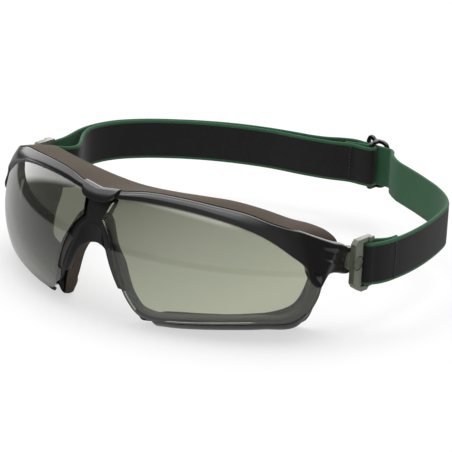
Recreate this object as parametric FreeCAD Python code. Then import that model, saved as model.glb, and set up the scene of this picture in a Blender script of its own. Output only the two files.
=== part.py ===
import FreeCAD, Part
import math
import os
from FreeCAD import Vector

# Wrap-around welding goggles with a swivelling head strap.
#
# A tinted shield lens is held by a hard brow frame, an inner rim, a nose bridge and two vent rails.
# A soft skirt seals against the face.  A clip at each temple swivels about one common sideways axis
# and carries the elastic strap, and a three-bar slider at the back shortens it.
#
# The pieces are drawn from the front of the lens: +X to the wearer's left, +Y back to the head and
# +Z up.  At the end all of them are moved so that the origin is the bottom centre of the object.

# ---------------------------------------------------------------- driving dimensions, mm and degrees
FIT = 0.15                  # clearance between clipped pieces
PIVOT_GAP = 0.05            # radial clearance of the clip on its stud
THREAD_GAP = 0.05           # clearance of the webbing on a bar
LAYER_GAP = 0.25            # room between two layers of the webbing

LENS_PLAN_RADIUS = 100.8    # wrap of the lens seen from above
LENS_SIDE_RADIUS = 48.0     # bulge of the lens seen from the side
LENS_EQUATOR_Z = 1.4        # height of the most forward line of the lens
LENS_LEAN = 6.8             # how far the lens's top leans back
LENS_THICKNESS = 2.2
LENS_ENGAGEMENT = 1.3       # how far the lens's top edge sits in the brow frame's groove

BAR_PROUD = 1.5             # brow frame in front of the lens
END_PROUD = 0.9             # the same at its outer ends
BAR_DEPTH = 5.7             # brow frame from front to back
ARM_THICKNESS = 3.8
GROOVE_DEPTH = 0.8          # recess along the outside of each arm

TAB_PROUD = 2.8             # bridge tab in front of the lens
SEAL_DEPTH = 0.7
RIM_DEPTH = 2.2
RIM_INSET = 0.3             # rim inside the lens's outline
BRIDGE_RECESS = 1.5         # nose bridge behind the lens's front
PAD_PROUD = 1.0

SKIRT_WALL = 2.0
REST_Z = -29.5              # lower edge of the skirt, which the goggles stand on
REST_CUT = 0.7              # how far the skirt's lower edge would bulge below the flat it rests on
RAIL_WALL = 1.4
RAIL_FLARE = 5.0            # how far the vent rail flares out from the lens's edge
RAIL_DEPTH = 2.3            # how far the vent rail's free edge lies behind the lens's front

PIVOT_X = 82.0              # outside face of each arm at the pivot
PIVOT_Y = 65.0
PIVOT_Z = 0.5
HUB_RADIUS = 5.6            # rounded end of the arm
STUD_RADIUS = 1.9
STUD_HEAD_RADIUS = 2.9
STUD_HEAD_HEIGHT = 0.8
KNUCKLE_RADIUS = 3.8
KNUCKLE_HEIGHT = 2.0

CLIP_THICKNESS = 2.6
CLIP_FRONT_REACH = 2.6      # clip in front of the pivot
CLIP_FRONT_BAR = 5.0
CLIP_SLOT = 3.4
CLIP_SIDE = 1.9             # height of the clip's upper and lower side bars
CLIP_BAR_RADIUS = 1.4
CLIP_CHAMFER = 1.6

STRAP_WIDTH = 18.0
STRAP_THICKNESS = 1.4
STRAP_CENTRE_Z = -1.0
STRAP_SIDE_GAP = 0.4        # room beside the webbing in the clips and the slider

SLIDER_X = 12.6
SLIDER_BAR_RADIUS = 1.1
SLIDER_RAIL_HALF = 0.9      # half the thickness of the slider's wavy frame
SLIDER_SIDE = 1.6           # the middle bar runs this far past the slots
SLIDER_LINK_INSET = 0.3
STRAP_BACK_Y = 178.0        # middle of the webbing where it runs straight through the slider

STITCH_COUNT = 5
STITCH_RADIUS = 0.35

FRONT_PLANE_Y = -20.0
CONE_TAPER = 0.05
LENS_SPAN = 66              # half of the angle that the curved walls are turned through
LENS_RISE = 62              # half of the angle of their section


# ---------------------------------------------------------------- general helpers
def spline(points, closed=False):
    """Smooth edge through the points."""
    curve = Part.BSplineCurve()
    curve.interpolate(Points=[Vector(*p) for p in points], PeriodicFlag=closed)
    return curve.toShape()


def mirrored(shape):
    """The same shape on the wearer's other side."""
    return shape.mirror(Vector(0, 0, 0), Vector(1, 0, 0))


def largest(shape):
    """The main solid of a cut, without slivers."""
    return max(shape.Solids, key=lambda solid: solid.Volume)


def as_solid(faces):
    """Closed solid sewn from faces that share their edges."""
    skin = Part.makeCompound(faces)
    skin.sewShape(0.01)
    solid = Part.makeSolid(skin.Shells[0])
    if solid.Volume < 0:
        solid.reverse()
    return solid


def four_sided(stations, closed=False):
    """Solid with a four-cornered section; each station gives the section's corners in turn."""
    rails = [spline([station[k] for station in stations], closed) for k in range(4)]
    faces = [Part.makeRuledSurface(rails[k], rails[(k + 1) % 4]) for k in range(4)]
    if not closed:
        for end in (stations[0], stations[-1]):
            corner = [Vector(*p) for p in end]
            low, high = Part.makeLine(corner[0], corner[1]), Part.makeLine(corner[3], corner[2])
            faces.append(Part.makeRuledSurface(low, high))
    return as_solid(faces)


def cylinder_x(x_from, x_to, y, z, radius):
    """Round bar along X."""
    return Part.makeCylinder(radius, x_to - x_from, Vector(x_from, y, z), Vector(1, 0, 0))


def block(x_range, y_range, z_range):
    """Box between limits."""
    sides = [high - low for low, high in (x_range, y_range, z_range)]
    return Part.makeBox(*sides, Vector(x_range[0], y_range[0], z_range[0]))


# ---------------------------------------------------------------- the lens's wrap surface
def wrap_y(x, z, depth=0.0):
    """Y of the wrap surface, moved inward by depth, at the given x and z."""
    lean = math.radians(LENS_LEAN)
    low, high = FRONT_PLANE_Y, LENS_PLAN_RADIUS * 0.75
    while high - low > 1e-7:
        y = (low + high) / 2
        back = y * math.cos(lean) - (z - LENS_EQUATOR_Z) * math.sin(lean)
        up = y * math.sin(lean) + (z - LENS_EQUATOR_Z) * math.cos(lean)
        rise = math.sqrt(max((LENS_SIDE_RADIUS - depth) ** 2 - up ** 2, 0.0))
        reach = LENS_PLAN_RADIUS - LENS_SIDE_RADIUS + rise
        if back < LENS_PLAN_RADIUS - math.sqrt(max(reach ** 2 - x ** 2, 0.0)):
            low = y
        else:
            high = y
    return low


def on_wrap(x, z, depth=0.0):
    """Point on the wrap surface."""
    return (x, wrap_y(x, z, depth), z)


def wrap_wall(front, back):
    """Curved wall between two depths behind the lens's front surface."""
    rise = math.radians(LENS_RISE)
    arcs, ends = [], []
    for depth in (front, back):
        radius = LENS_SIDE_RADIUS - depth
        corners = [Vector(0, LENS_SIDE_RADIUS - radius * math.cos(a), LENS_EQUATOR_Z + radius * math.sin(a))
                   for a in (-rise, 0, rise)]
        arcs.append(Part.Arc(*corners).toShape())
        ends.append((corners[0], corners[2]))
    caps = [Part.makeLine(ends[0][k], ends[1][k]) for k in (0, 1)]
    section = Part.Face(Part.Wire(Part.__sortEdges__(arcs + caps)))
    centre = Vector(0, LENS_PLAN_RADIUS, 0)
    section.rotate(centre, Vector(0, 0, 1), -LENS_SPAN)
    wall = section.revolve(centre, Vector(0, 0, 1), 2 * LENS_SPAN)
    wall.rotate(Vector(0, 0, LENS_EQUATOR_Z), Vector(1, 0, 0), -LENS_LEAN)
    return wall


# ---------------------------------------------------------------- outlines seen from the front
def shifted(points, distance):
    """Closed clockwise outline of x and z, moved outward."""
    moved = []
    for k, (x, z) in enumerate(points):
        normals = []
        for a, b in ((points[k - 1], (x, z)), ((x, z), points[(k + 1) % len(points)])):
            length = math.hypot(b[0] - a[0], b[1] - a[1])
            normals.append(((a[1] - b[1]) / length, (b[0] - a[0]) / length))
        nx, nz = normals[0][0] + normals[1][0], normals[0][1] + normals[1][1]
        size = math.hypot(nx, nz)
        mitre = distance / max(size / 2, 0.5)
        moved.append((x + mitre * nx / size, z + mitre * nz / size))
    return moved


def cut_cone(runs, grow=0.0, depth=0.0):
    """Solid that cuts a curved wall square to its surface along an outline.

    The outline is clockwise runs of x and z on the wrap surface at a depth: a run of two points is
    straight and the others are smooth.  All the cone's sides meet at the centre of the lens's plan.
    """
    corners = [p for run in runs for p in run[:-1]]
    moved = shifted(corners, grow) if grow else corners
    apex = Vector(0, LENS_PLAN_RADIUS, LENS_EQUATOR_Z)
    edges, first = [], 0
    for run in runs:
        last = first + len(run) - 1
        points = []
        for k in range(first, last + 1):
            x, z = moved[k % len(moved)]
            scale = (apex.y - FRONT_PLANE_Y) / (apex.y - wrap_y(x, z, depth))
            points.append((x * scale, FRONT_PLANE_Y, apex.z + (z - apex.z) * scale))
        straight = len(points) == 2
        edges.append(Part.makeLine(Vector(*points[0]), Vector(*points[1])) if straight else spline(points))
        first = last
    front = Part.Wire(edges)
    return Part.makeLoft([front, front.scaled(CONE_TAPER, apex)], True, True)


def mirrored_run(run):
    """Run of points on the other side, in the same sense round the outline."""
    return [(-x, z) for x, z in reversed(run)]


def symmetric(half):
    """Whole outline from the runs of its right half, which start and end on the middle plane."""
    top = mirrored_run(half[0][1:]) + half[0]
    bottom = half[-1] + mirrored_run(half[-1][:-1])
    sides = half[1:-1]
    return [top] + sides + [bottom] + [mirrored_run(run) for run in reversed(sides)]


BAR_LOW = [(0, 21.2), (9.5, 21.6), (20, 22.5), (34, 22.3), (47.5, 20.6), (58.5, 17.8), (68, 13.6),
           (75, 8.4), (80.3, 2.3)]
BAR_TOP = [(0, 23.9), (9.2, 24.8), (20, 26.4), (34, 26.4), (46.5, 25.1), (58.5, 22.9), (67.5, 19.6)]
LENS_END = [(83.7, -1.0), (83.9, -4.2), (82.9, -10.2), (80.2, -16.2), (76.0, -20.0), (66.5, -21.2),
            (56, -22.3), (45.7, -23.6), (36, -24.8), (27.8, -25.4), (23.6, -24.6), (21.0, -22.0),
            (19.2, -18.6), (16.9, -12.9), (14.6, -6.0), (11.6, 2.4), (8.4, 8.8), (4.9, 12.6)]
NOTCH_TOP = (7.0, 19.6)
LENS = symmetric([[(x, z + LENS_ENGAGEMENT) for x, z in BAR_LOW] + LENS_END[:1], LENS_END,
                  [LENS_END[-1], NOTCH_TOP], [NOTCH_TOP, (0, NOTCH_TOP[1])]])

STRUT_HALF_WIDTH = 4.5
STRUT_TOP = 19.3
RIM_NOTCH = (STRUT_HALF_WIDTH + FIT, STRUT_TOP + FIT)
RIM_FOOT = (RIM_NOTCH[0], LENS_END[-1][1])
RIM = symmetric([LENS[0][len(LENS[0]) // 2:], LENS_END[:-1] + [RIM_FOOT], [RIM_FOOT, RIM_NOTCH],
                 [RIM_NOTCH, (0, RIM_NOTCH[1])]])
WINDOW_NOSE = (7.2, 20.5)
WINDOW_END = (81.3, -4.5)
WINDOW_ABOVE = [(81.3, 8), (72, 27), (7.2, 30)]
WINDOW_SIDE = [WINDOW_NOSE, (6.1, 14.4), (8.2, 12.4), (10.2, 8.8), (12.2, 4.8), (14.2, 1.4),
               (16.8, -4.4), (19.0, -10.4), (21.4, -17.6), (23.6, -22.0), (28.0, -23.6), (35.7, -23.1),
               (52.9, -20.9), (67.4, -19.4), (74.0, -18.9), (77.5, -16.5), (80.7, -9.8), WINDOW_END]
WINDOW = [WINDOW_SIDE[::-1], [WINDOW_NOSE, WINDOW_ABOVE[2]], WINDOW_ABOVE[2:0:-1],
          WINDOW_ABOVE[1::-1], [WINDOW_ABOVE[0], WINDOW_END]]

LEG_SIDE = [(STRUT_HALF_WIDTH, 12.2), (8.9, 9.0), (12.2, 2.8), (15.4, -6.0), (17.9, -13.8)]
# nose opening of the bridge: high in front, low at the back, so that its underside slopes
ARCH_FRONT = [(0, 10.0), (2.4, 9.6), (5.0, 8.0), (6.3, 5.2), (7.4, 2.3), (9.6, -3.4), (11.3, -7.6),
              (13.3, -12.6), (14.6, -16.0)]
ARCH_BACK = [(0, 1.2), (1.9, 1.0), (3.8, 0.4), (5.3, -0.6), (6.9, -1.8), (8.7, -4.5), (11.0, -9.2),
             (13.3, -13.2), (14.6, -16.0)]
ARCH_DEPTHS = (-5.0, 2.0, 6.2, 20.0)
LEG_END = (ARCH_BACK[-1][0], LEG_SIDE[-1][1])
BRIDGE = symmetric([[(0, STRUT_TOP), (STRUT_HALF_WIDTH, STRUT_TOP)],
                    [(STRUT_HALF_WIDTH, STRUT_TOP), LEG_SIDE[0]], LEG_SIDE, [LEG_SIDE[-1], LEG_END],
                    [LEG_END, (0, LEG_END[1])]])

PAD_INNER = [(15.3, -12.8), (11.7, -4.4), (8.9, 1.9)]
PAD_OUTER = [(12.0, 3.4), (14.6, -3.6), (17.4, -12.0)]
PAD = [PAD_INNER, [PAD_INNER[-1], PAD_OUTER[0]], PAD_OUTER, [PAD_OUTER[-1], PAD_INNER[0]]]

TAB_LOW = [(8.6, 23.2), (7.0, 20.8), (4.0, 19.8), (0, 19.6)]
TAB = symmetric([[(0, 24.1), (9.0, 25.0)], [(9.0, 25.0), TAB_LOW[0]], TAB_LOW])


# ---------------------------------------------------------------- lens and the pieces that hold it
lens_outline = cut_cone(LENS)
lens_clearance = cut_cone(LENS, FIT)
tab_outline = cut_cone(TAB, depth=-BAR_PROUD)
window_left = cut_cone(WINDOW, depth=LENS_THICKNESS)
SEAL_BACK = LENS_THICKNESS + SEAL_DEPTH
RIM_BACK = SEAL_BACK + RIM_DEPTH
SKIRT_FRONT = RIM_BACK + FIT


def arm_stations():
    """Corners of the brow frame from its middle to the wearer's left hub.

    Each has the outer face's low and top corners, the way inward in degrees from straight back, the
    depth that way, and how far the inner low corner is raised to stay out of the lens's view.
    """
    corners = [(on_wrap(*low, -BAR_PROUD), on_wrap(*top, -BAR_PROUD), turn, BAR_DEPTH, 0)
               for low, top, turn in zip(BAR_LOW, BAR_TOP, (0, 5, 11, 20, 28, 36, 44))]
    hub_low = (PIVOT_X, PIVOT_Y, PIVOT_Z - HUB_RADIUS)
    hub_top = (PIVOT_X, PIVOT_Y, PIVOT_Z + HUB_RADIUS)
    corners += [
        (on_wrap(*BAR_LOW[7], -BAR_PROUD), (72.3, 38.0, 17.7), 52, 5.0, 0.6),
        (on_wrap(*BAR_LOW[8], -END_PROUD), (75.4, 42.0, 16.3), 64, 4.6, 1.5),
        ((82.0, 39.7, -2.0), (77.6, 46.0, 14.4), 75, 4.2, 2.4),
        ((83.3, 41.8, -4.9), (79.2, 49.4, 12.8), 82, 4.0, 2.1),
        ((84.2, 44.0, -5.4), (80.4, 52.3, 11.5), 87, ARM_THICKNESS, 1.2),
        ((84.0, 46.6, -3.4), (81.1, 54.9, 10.4), 89, ARM_THICKNESS, 0.6),
        ((83.5, 49.6, -1.6), (81.5, 57.2, 9.6), 90, ARM_THICKNESS, 0),
        ((82.8, 54.0, -2.0), (81.8, 59.6, 8.8), 90, ARM_THICKNESS, 0),
        ((PIVOT_X + 0.3, PIVOT_Y - 6.5, -3.2), (PIVOT_X, PIVOT_Y - 3.2, 7.8), 90, ARM_THICKNESS, 0),
        (hub_low, hub_top, 90, ARM_THICKNESS, 0)]
    stations = []
    for low, top, turn, depth, rise in corners:
        angle = math.radians(turn)
        inward = Vector(-depth * math.sin(angle), depth * math.cos(angle), 0)
        drop = Vector(0, 0, (SKIRT_WALL + FIT) * math.cos(angle))
        low, top = Vector(*low), Vector(*top)
        stations.append([tuple(p) for p in (low, top, top + inward - drop,
                                            low + inward + Vector(0, 0, rise))])
    return stations


def other_side(stations):
    """Stations of the other side, in reverse order."""
    return [[(-x, y, z) for x, y, z in station] for station in reversed(stations)]


def make_front_frame():
    half = arm_stations()
    body = four_sided(other_side(half[1:]) + half)
    lens_room = wrap_wall(-FIT, LENS_THICKNESS + FIT).common(lens_clearance)
    tab_room = wrap_wall(-2 * TAB_PROUD, -FIT).common(tab_outline)
    hub = cylinder_x(PIVOT_X - ARM_THICKNESS, PIVOT_X, PIVOT_Y, PIVOT_Z, HUB_RADIUS)
    bore = cylinder_x(PIVOT_X - 2 * ARM_THICKNESS, PIVOT_X + ARM_THICKNESS, PIVOT_Y, PIVOT_Z, STUD_RADIUS)
    seat = cylinder_x(PIVOT_X, PIVOT_X + ARM_THICKNESS, PIVOT_Y, PIVOT_Z, KNUCKLE_RADIUS + FIT)
    recess = four_sided([
        [(PIVOT_X + 5, y, low), (PIVOT_X + 5, y, high), (x_high - GROOVE_DEPTH, y, high),
         (x_low - GROOVE_DEPTH, y, low)]
        for y, low, high, x_low, x_high in (
            (46.0, 4.6, 10.4, 81.0, 79.2), (50.0, 3.4, 9.0, 82.4, 80.9), (55.0, 1.8, 7.2, 82.4, 81.9),
            (PIVOT_Y - KNUCKLE_RADIUS - 0.6, 0.1, 5.3, PIVOT_X, PIVOT_X))])
    body = body.fuse([hub, mirrored(hub)])
    cuts = [bore, seat, recess]
    return largest(body.cut(cuts + [mirrored(cut) for cut in cuts] + [lens_room, tab_room]))


def make_lens_frame(front, back, inset):
    """U-shaped frame behind the lens, open where the brow frame covers it."""
    wall = wrap_wall(front, back).common(cut_cone(RIM, -inset))
    ends = [block((WINDOW_END[0] - 20, 2 * WINDOW_END[0]), (0, 90), (LENS_END[1][1] - 1.2, 60))]
    ends.append(mirrored(ends[0]))
    return largest(wall.cut([window_left, mirrored(window_left), front_frame] + ends))


def make_nose_bridge():
    wall = wrap_wall(BRIDGE_RECESS, RIM_BACK).common(cut_cone(BRIDGE))
    sections = []
    for y, half in zip(ARCH_DEPTHS, (ARCH_FRONT, ARCH_FRONT, ARCH_BACK, ARCH_BACK)):
        outline = mirrored_run(half[1:]) + half + [(half[-1][0], 2 * REST_Z), (-half[-1][0], 2 * REST_Z)]
        sections.append(Part.makePolygon([Vector(x, y, z) for x, z in outline + outline[:1]]))
    nose_room = Part.makeLoft(sections, True, True)
    return largest(wall.cut([lens_clearance, lens_rim, lens_seal, nose_room]))


def make_nose_pad():
    wall = wrap_wall(-PAD_PROUD, BRIDGE_RECESS).common(cut_cone(PAD))
    return largest(wall.cut(lens_clearance))


def rail_stations():
    """Corners of the vent rail from the lens's outer end to its nose end."""
    flare = [1.0, 1.3, 2.3] + [RAIL_FLARE] * 6
    grown = shifted([p for run in LENS for p in run[:-1]], 1.0)
    start = [p for run in LENS for p in run[:-1]].index(LENS_END[1])
    stations = []
    for k, reach in enumerate(flare):
        x, z = LENS_END[1 + k]
        out_x, out_z = grown[start + k][0] - x, grown[start + k][1] - z
        edge = Vector(*on_wrap(x, z))
        slope_x = (wrap_y(x + 0.1, z) - edge.y) / 0.1
        slope_z = (wrap_y(x, z + 0.1) - edge.y) / 0.1
        inward = Vector(-slope_x, 1, -slope_z).normalize()
        outward = Vector(out_x, out_x * slope_x + out_z * slope_z, out_z).normalize()
        section = ((2 * FIT, 0), (reach, RAIL_DEPTH), (reach - RAIL_WALL / 2, RAIL_DEPTH + RAIL_WALL),
                   (2 * FIT, RAIL_WALL))
        stations.append([tuple(edge + outward * g + inward * d) for g, d in section])
    return stations


# ---------------------------------------------------------------- face skirt
def skirt_stations():
    """Corners of the skirt from the top of the nose side round to the nose arch."""
    top_rear = [(0, 31.5, 20.4), (9, 31.3, 20.8), (20.6, 31.1, 21.9), (35, 32.0, 23.4),
                (46, 35.2, 23.6), (56, 42.2, 20.9), (63.5, 50.2, 17.0)]
    stations = []
    for bar, rear in zip(arm_stations(), top_rear):
        lift = Vector(0, 0, FIT)
        wall = Vector(0, 0, -SKIRT_WALL)
        front, inner_front = Vector(*bar[1]) + lift, Vector(*bar[2]) + lift
        stations.append([front, Vector(*rear), Vector(*rear) + wall, inner_front])

    def low(x, z):
        return on_wrap(x, z, SKIRT_FRONT)

    ground = REST_Z - REST_CUT
    around = [((72.3, 38.4, 17.6), (68.8, 56.2, 14.8), 235), ((74.6, 43.5, 15.0), (72.8, 61.2, 11.8), 218),
              ((76.6, 47.0, 9.0), (75.2, 65.4, 7.0), 195), ((77.3, 47.0, 1.0), (74.2, 66.8, 0.0), 180),
              (low(77.0, -8.0), (72.2, 64.6, -8.0), 172), (low(74.0, -15.0), (71.3, 60.0, -17.0), 150),
              (low(68.0, -18.7), (69.0, 56.4, -26.4), 112), (low(59, -20.3), (58.5, 52.6, ground), 90),
              (low(50, -21.5), (50, 47.0, ground), 90), (low(39, -22.8), (39, 38.5, ground), 90),
              (low(29, -23.8), (29.5, 29.0, ground), 84), ((20.2, 10.6, -27.2), (21.4, 17.6, -28.6), 45),
              (low(17.8, -18.8), (16.6, 13.8, -22.2), 16), (low(15.4, -14.6), (13.6, 12.4, -16.2), 18),
              (low(12.8, -10.8), (12.0, 11.8, -11.4), 30), (low(9.8, -6.0), (10.2, 11.6, -6.2), 40),
              (low(6.2, -0.6), (6.4, 11.3, -1.0), 62), (low(0, 1.6), (0, 11.0, -0.4), 90)]
    for front, rear, angle in around:
        wall = Vector(math.cos(math.radians(angle)), 0, math.sin(math.radians(angle))) * SKIRT_WALL
        front, rear = Vector(*front), Vector(*rear)
        stations.append([front, rear, rear + wall, front + wall])
    return [[tuple(p) for p in station] for station in stations]


def make_face_skirt():
    half = skirt_stations()
    ring = four_sided(half + other_side(half[1:-1]), closed=True)
    ground = block((-PIVOT_X, PIVOT_X), (-PIVOT_Y, PIVOT_Y), (2 * REST_Z, REST_Z))
    return largest(ring.cut([front_frame, bridge_tab, lens_rim, nose_bridge, ground]))


# ---------------------------------------------------------------- swivelling clips and their studs
CLIP_INNER_X = PIVOT_X + KNUCKLE_HEIGHT
CLIP_OUTER_X = CLIP_INNER_X + CLIP_THICKNESS
CLIP_BAR_X = CLIP_OUTER_X - 0.6
SLOT_FRONT_Y = PIVOT_Y - CLIP_FRONT_REACH + CLIP_FRONT_BAR
CLIP_BAR_Y = SLOT_FRONT_Y + CLIP_SLOT + CLIP_BAR_RADIUS
CLIP_REAR_Y = CLIP_BAR_Y + CLIP_BAR_RADIUS
STRAP_LOW_Z = STRAP_CENTRE_Z - STRAP_WIDTH / 2
STRAP_HIGH_Z = STRAP_CENTRE_Z + STRAP_WIDTH / 2
SLOT_LOW_Z = STRAP_LOW_Z - STRAP_SIDE_GAP
SLOT_HIGH_Z = STRAP_HIGH_Z + STRAP_SIDE_GAP
STUD_FLOOR_X = CLIP_OUTER_X - STUD_HEAD_HEIGHT - FIT


def make_pivot_stud():
    """Snap stud: a head inside the arm, a shaft and a head sunk in the clip."""
    arm_inside = PIVOT_X - ARM_THICKNESS
    shaft = cylinder_x(arm_inside, STUD_FLOOR_X + PIVOT_GAP, PIVOT_Y, PIVOT_Z, STUD_RADIUS)
    inner_head = cylinder_x(arm_inside - STUD_HEAD_HEIGHT, arm_inside, PIVOT_Y, PIVOT_Z, STUD_HEAD_RADIUS)
    outer_head = cylinder_x(STUD_FLOOR_X + PIVOT_GAP, STUD_FLOOR_X + PIVOT_GAP + STUD_HEAD_HEIGHT,
                            PIVOT_Y, PIVOT_Z, STUD_HEAD_RADIUS)
    return shaft.fuse([inner_head, outer_head]).removeSplitter()


def make_strap_clip():
    low, high = SLOT_LOW_Z - CLIP_SIDE, SLOT_HIGH_Z + CLIP_SIDE
    front = PIVOT_Y - CLIP_FRONT_REACH
    corners = [(front, PIVOT_Z - 8.4), (front, PIVOT_Z + 8.0), (front + CLIP_CHAMFER, high),
               (CLIP_REAR_Y, high), (CLIP_REAR_Y, low + CLIP_CHAMFER), (CLIP_REAR_Y - CLIP_CHAMFER, low),
               (SLOT_FRONT_Y + 0.6, low), (front + CLIP_CHAMFER, PIVOT_Z - 10.4)]
    wire = Part.makePolygon([Vector(CLIP_INNER_X, y, z) for y, z in corners + corners[:1]])
    plate = Part.Face(wire).extrude(Vector(CLIP_THICKNESS, 0, 0))
    slot = block((CLIP_INNER_X - 5, CLIP_OUTER_X + 5), (SLOT_FRONT_Y, CLIP_REAR_Y + 5),
                 (SLOT_LOW_Z, SLOT_HIGH_Z))
    bar_out = CLIP_BAR_X + CLIP_BAR_RADIUS
    cheeks = [block((CLIP_INNER_X, bar_out), (SLOT_FRONT_Y + CLIP_SLOT, CLIP_REAR_Y), limits)
              for limits in ((low + CLIP_CHAMFER, SLOT_LOW_Z), (SLOT_HIGH_Z, high))]
    bar = Part.makeCylinder(CLIP_BAR_RADIUS, high - low - CLIP_CHAMFER,
                            Vector(CLIP_BAR_X, CLIP_BAR_Y, low + CLIP_CHAMFER))
    knuckle = cylinder_x(PIVOT_X + PIVOT_GAP, CLIP_INNER_X, PIVOT_Y, PIVOT_Z, KNUCKLE_RADIUS)
    bore = cylinder_x(PIVOT_X - 5, CLIP_OUTER_X + 5, PIVOT_Y, PIVOT_Z, STUD_RADIUS + PIVOT_GAP)
    counterbore = cylinder_x(STUD_FLOOR_X, CLIP_OUTER_X + 5, PIVOT_Y, PIVOT_Z, STUD_HEAD_RADIUS + FIT)
    return plate.cut(slot).fuse(cheeks + [bar, knuckle]).cut([bore, counterbore]).removeSplitter()


# ---------------------------------------------------------------- webbing
def webbing(runs, width_low=STRAP_LOW_Z, width_high=STRAP_HIGH_Z):
    """Webbing that stands on edge along runs of x and y; a run of two points is straight."""
    half = STRAP_THICKNESS / 2
    sides = {1: [], -1: []}
    for k, run in enumerate(runs):
        if len(run) == 2:
            start, end = Vector(*run[0], 0), Vector(*run[1], 0)
            along = (end - start).normalize()
            across_it = Vector(-along.y, along.x, 0) * half
            for side in sides:
                sides[side].append(Part.makeLine(start + across_it * side, end + across_it * side))
            continue
        curve = Part.BSplineCurve()
        tangents = [Vector(0, 0, 0)] * len(run)
        flags = [False] * len(run)
        for place, neighbour in ((0, k - 1), (-1, k + 1)):
            if 0 <= neighbour < len(runs) and len(runs[neighbour]) == 2:
                a, b = runs[neighbour]
                tangents[place] = Vector(b[0] - a[0], b[1] - a[1], 0).normalize()
                flags[place] = True
        points = [Vector(x, y, 0) for x, y in run]
        if any(flags):
            curve.interpolate(Points=points, Tangents=tangents, TangentFlags=flags, Scale=False)
        else:
            curve.interpolate(Points=points)
        count = 4 * len(run)
        low, high = curve.FirstParameter, curve.LastParameter
        samples = [low + (high - low) * n / count for n in range(count + 1)]
        for side in sides:
            offset = []
            for t in samples:
                along = curve.tangent(t)[0]
                offset.append(tuple(curve.value(t) + Vector(-along.y, along.x, 0) * half * side))
            sides[side].append(spline(offset))
    ends = []
    for index in (0, -1):
        corner = [edges[index].Vertexes[index].Point for edges in sides.values()]
        ends.append(Part.makeLine(*corner))
    edges = Part.__sortEdges__(sides[1] + [ends[1]] + sides[-1] + [ends[0]])
    face = Part.Face(Part.Wire(edges))
    face.translate(Vector(0, 0, width_low))
    return face.extrude(Vector(0, 0, width_high - width_low))


def turn_points(centre, radius, start, end, count):
    """Points along a round turn of the webbing, angles in degrees."""
    angles = [math.radians(start + (end - start) * k / (count - 1)) for k in range(count)]
    return [(centre[0] + radius * math.cos(a), centre[1] + radius * math.sin(a)) for a in angles]


LAYER_PITCH = STRAP_THICKNESS + LAYER_GAP
CLIP_TURN_RADIUS = CLIP_BAR_RADIUS + THREAD_GAP + STRAP_THICKNESS / 2
STRAIGHT_FROM, STRAIGHT_TO = (21.0, STRAP_BACK_Y), (1.5, STRAP_BACK_Y)
near_turn = turn_points((CLIP_BAR_X, CLIP_BAR_Y), CLIP_TURN_RADIUS, 180, 360, 7)
far_turn = turn_points((-CLIP_BAR_X, CLIP_BAR_Y), CLIP_TURN_RADIUS, 180, 310, 6)
TAIL = [(89.1, 86.5), (88.8, 82.4), (87.2, 78.8), (85.2, 76.2)]
NEAR_RUN = [(89.4, 75.2), (90.4, 79.4), (90.7, 85.0), (90.7, 91.0), (90.1, 98.5), (88.9, 107.0),
            (87.0, 116.0), (84.6, 125.0), (81.0, 134.4), (76.3, 140.6), (70.3, 146.2), (63.6, 150.9),
            (56.2, 155.0), (48.5, 159.0), (40.8, 162.6), (33.4, 166.2), (26.6, 171.6)]
FAR_RUN = [(-4.2, 175.2), (-9.5, 171.2), (-16.0, 168.4), (-24.0, 166.3), (-33.0, 163.6), (-47.0, 157.9),
           (-60.0, 150.2), (-71.7, 141.0), (-82.2, 130.4), (-89.1, 119.2), (-91.4, 110.0),
           (-91.7, 103.0), (-90.8, 96.5), (-89.1, 90.0), (-87.8, 84.0), (-87.6, 78.8), (-87.9, 75.0)]
RETURN_START = [(-80.6, 72.8), (-77.2, 75.6), (-76.3, 79.0), (-78.0, 83.2), (-81.4, 88.0), (-84.9, 93.0),
                (-87.9, 98.2), (-89.7, 103.4)]
RETURN_LOOSE = [(-33.0, 160.5), (-14.0, 164.8), (-4.0, 168.0), (4.0, 171.6)]


def make_head_strap():
    """Sewn tail, turn at the left clip, run round the back and turn at the right clip."""
    first = TAIL + near_turn + NEAR_RUN + [STRAIGHT_FROM]
    last = [STRAIGHT_TO] + FAR_RUN + far_turn
    return webbing([first, [STRAIGHT_FROM, STRAIGHT_TO], last])


def beside(points, distance):
    """Points moved to the wearer's side of a run of webbing."""
    moved = []
    for k in range(1, len(points) - 1):
        (ax, ay), (bx, by) = points[k - 1], points[k + 1]
        length = math.hypot(bx - ax, by - ay)
        moved.append((points[k][0] - (by - ay) / length * distance,
                      points[k][1] + (bx - ax) / length * distance))
    return moved


SLIDER_END_Y = STRAP_BACK_Y + STRAP_THICKNESS / 2 + STRAP_SIDE_GAP + SLIDER_BAR_RADIUS
LOOP_OUTER_Y = STRAP_BACK_Y - STRAP_THICKNESS - STRAP_SIDE_GAP
LOOP_RADIUS = SLIDER_BAR_RADIUS + THREAD_GAP + STRAP_THICKNESS / 2
SLIDER_CENTRE_Y = LOOP_OUTER_Y - LOOP_RADIUS


def make_strap_return():
    """Inner run from the right clip to the slider's centre bar, sewn back on itself."""
    close = beside(FAR_RUN[6:12], LAYER_PITCH)
    loop = turn_points((SLIDER_X, SLIDER_CENTRE_Y), LOOP_RADIUS, 270, 450, 7)
    end = [(8.6, SLIDER_CENTRE_Y + 1.3), (4.6, SLIDER_CENTRE_Y - 0.1), (0.2, SLIDER_CENTRE_Y - 1.9)]
    return webbing([far_turn[-1:] + RETURN_START + close[::-1] + RETURN_LOOSE + loop + end])


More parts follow.
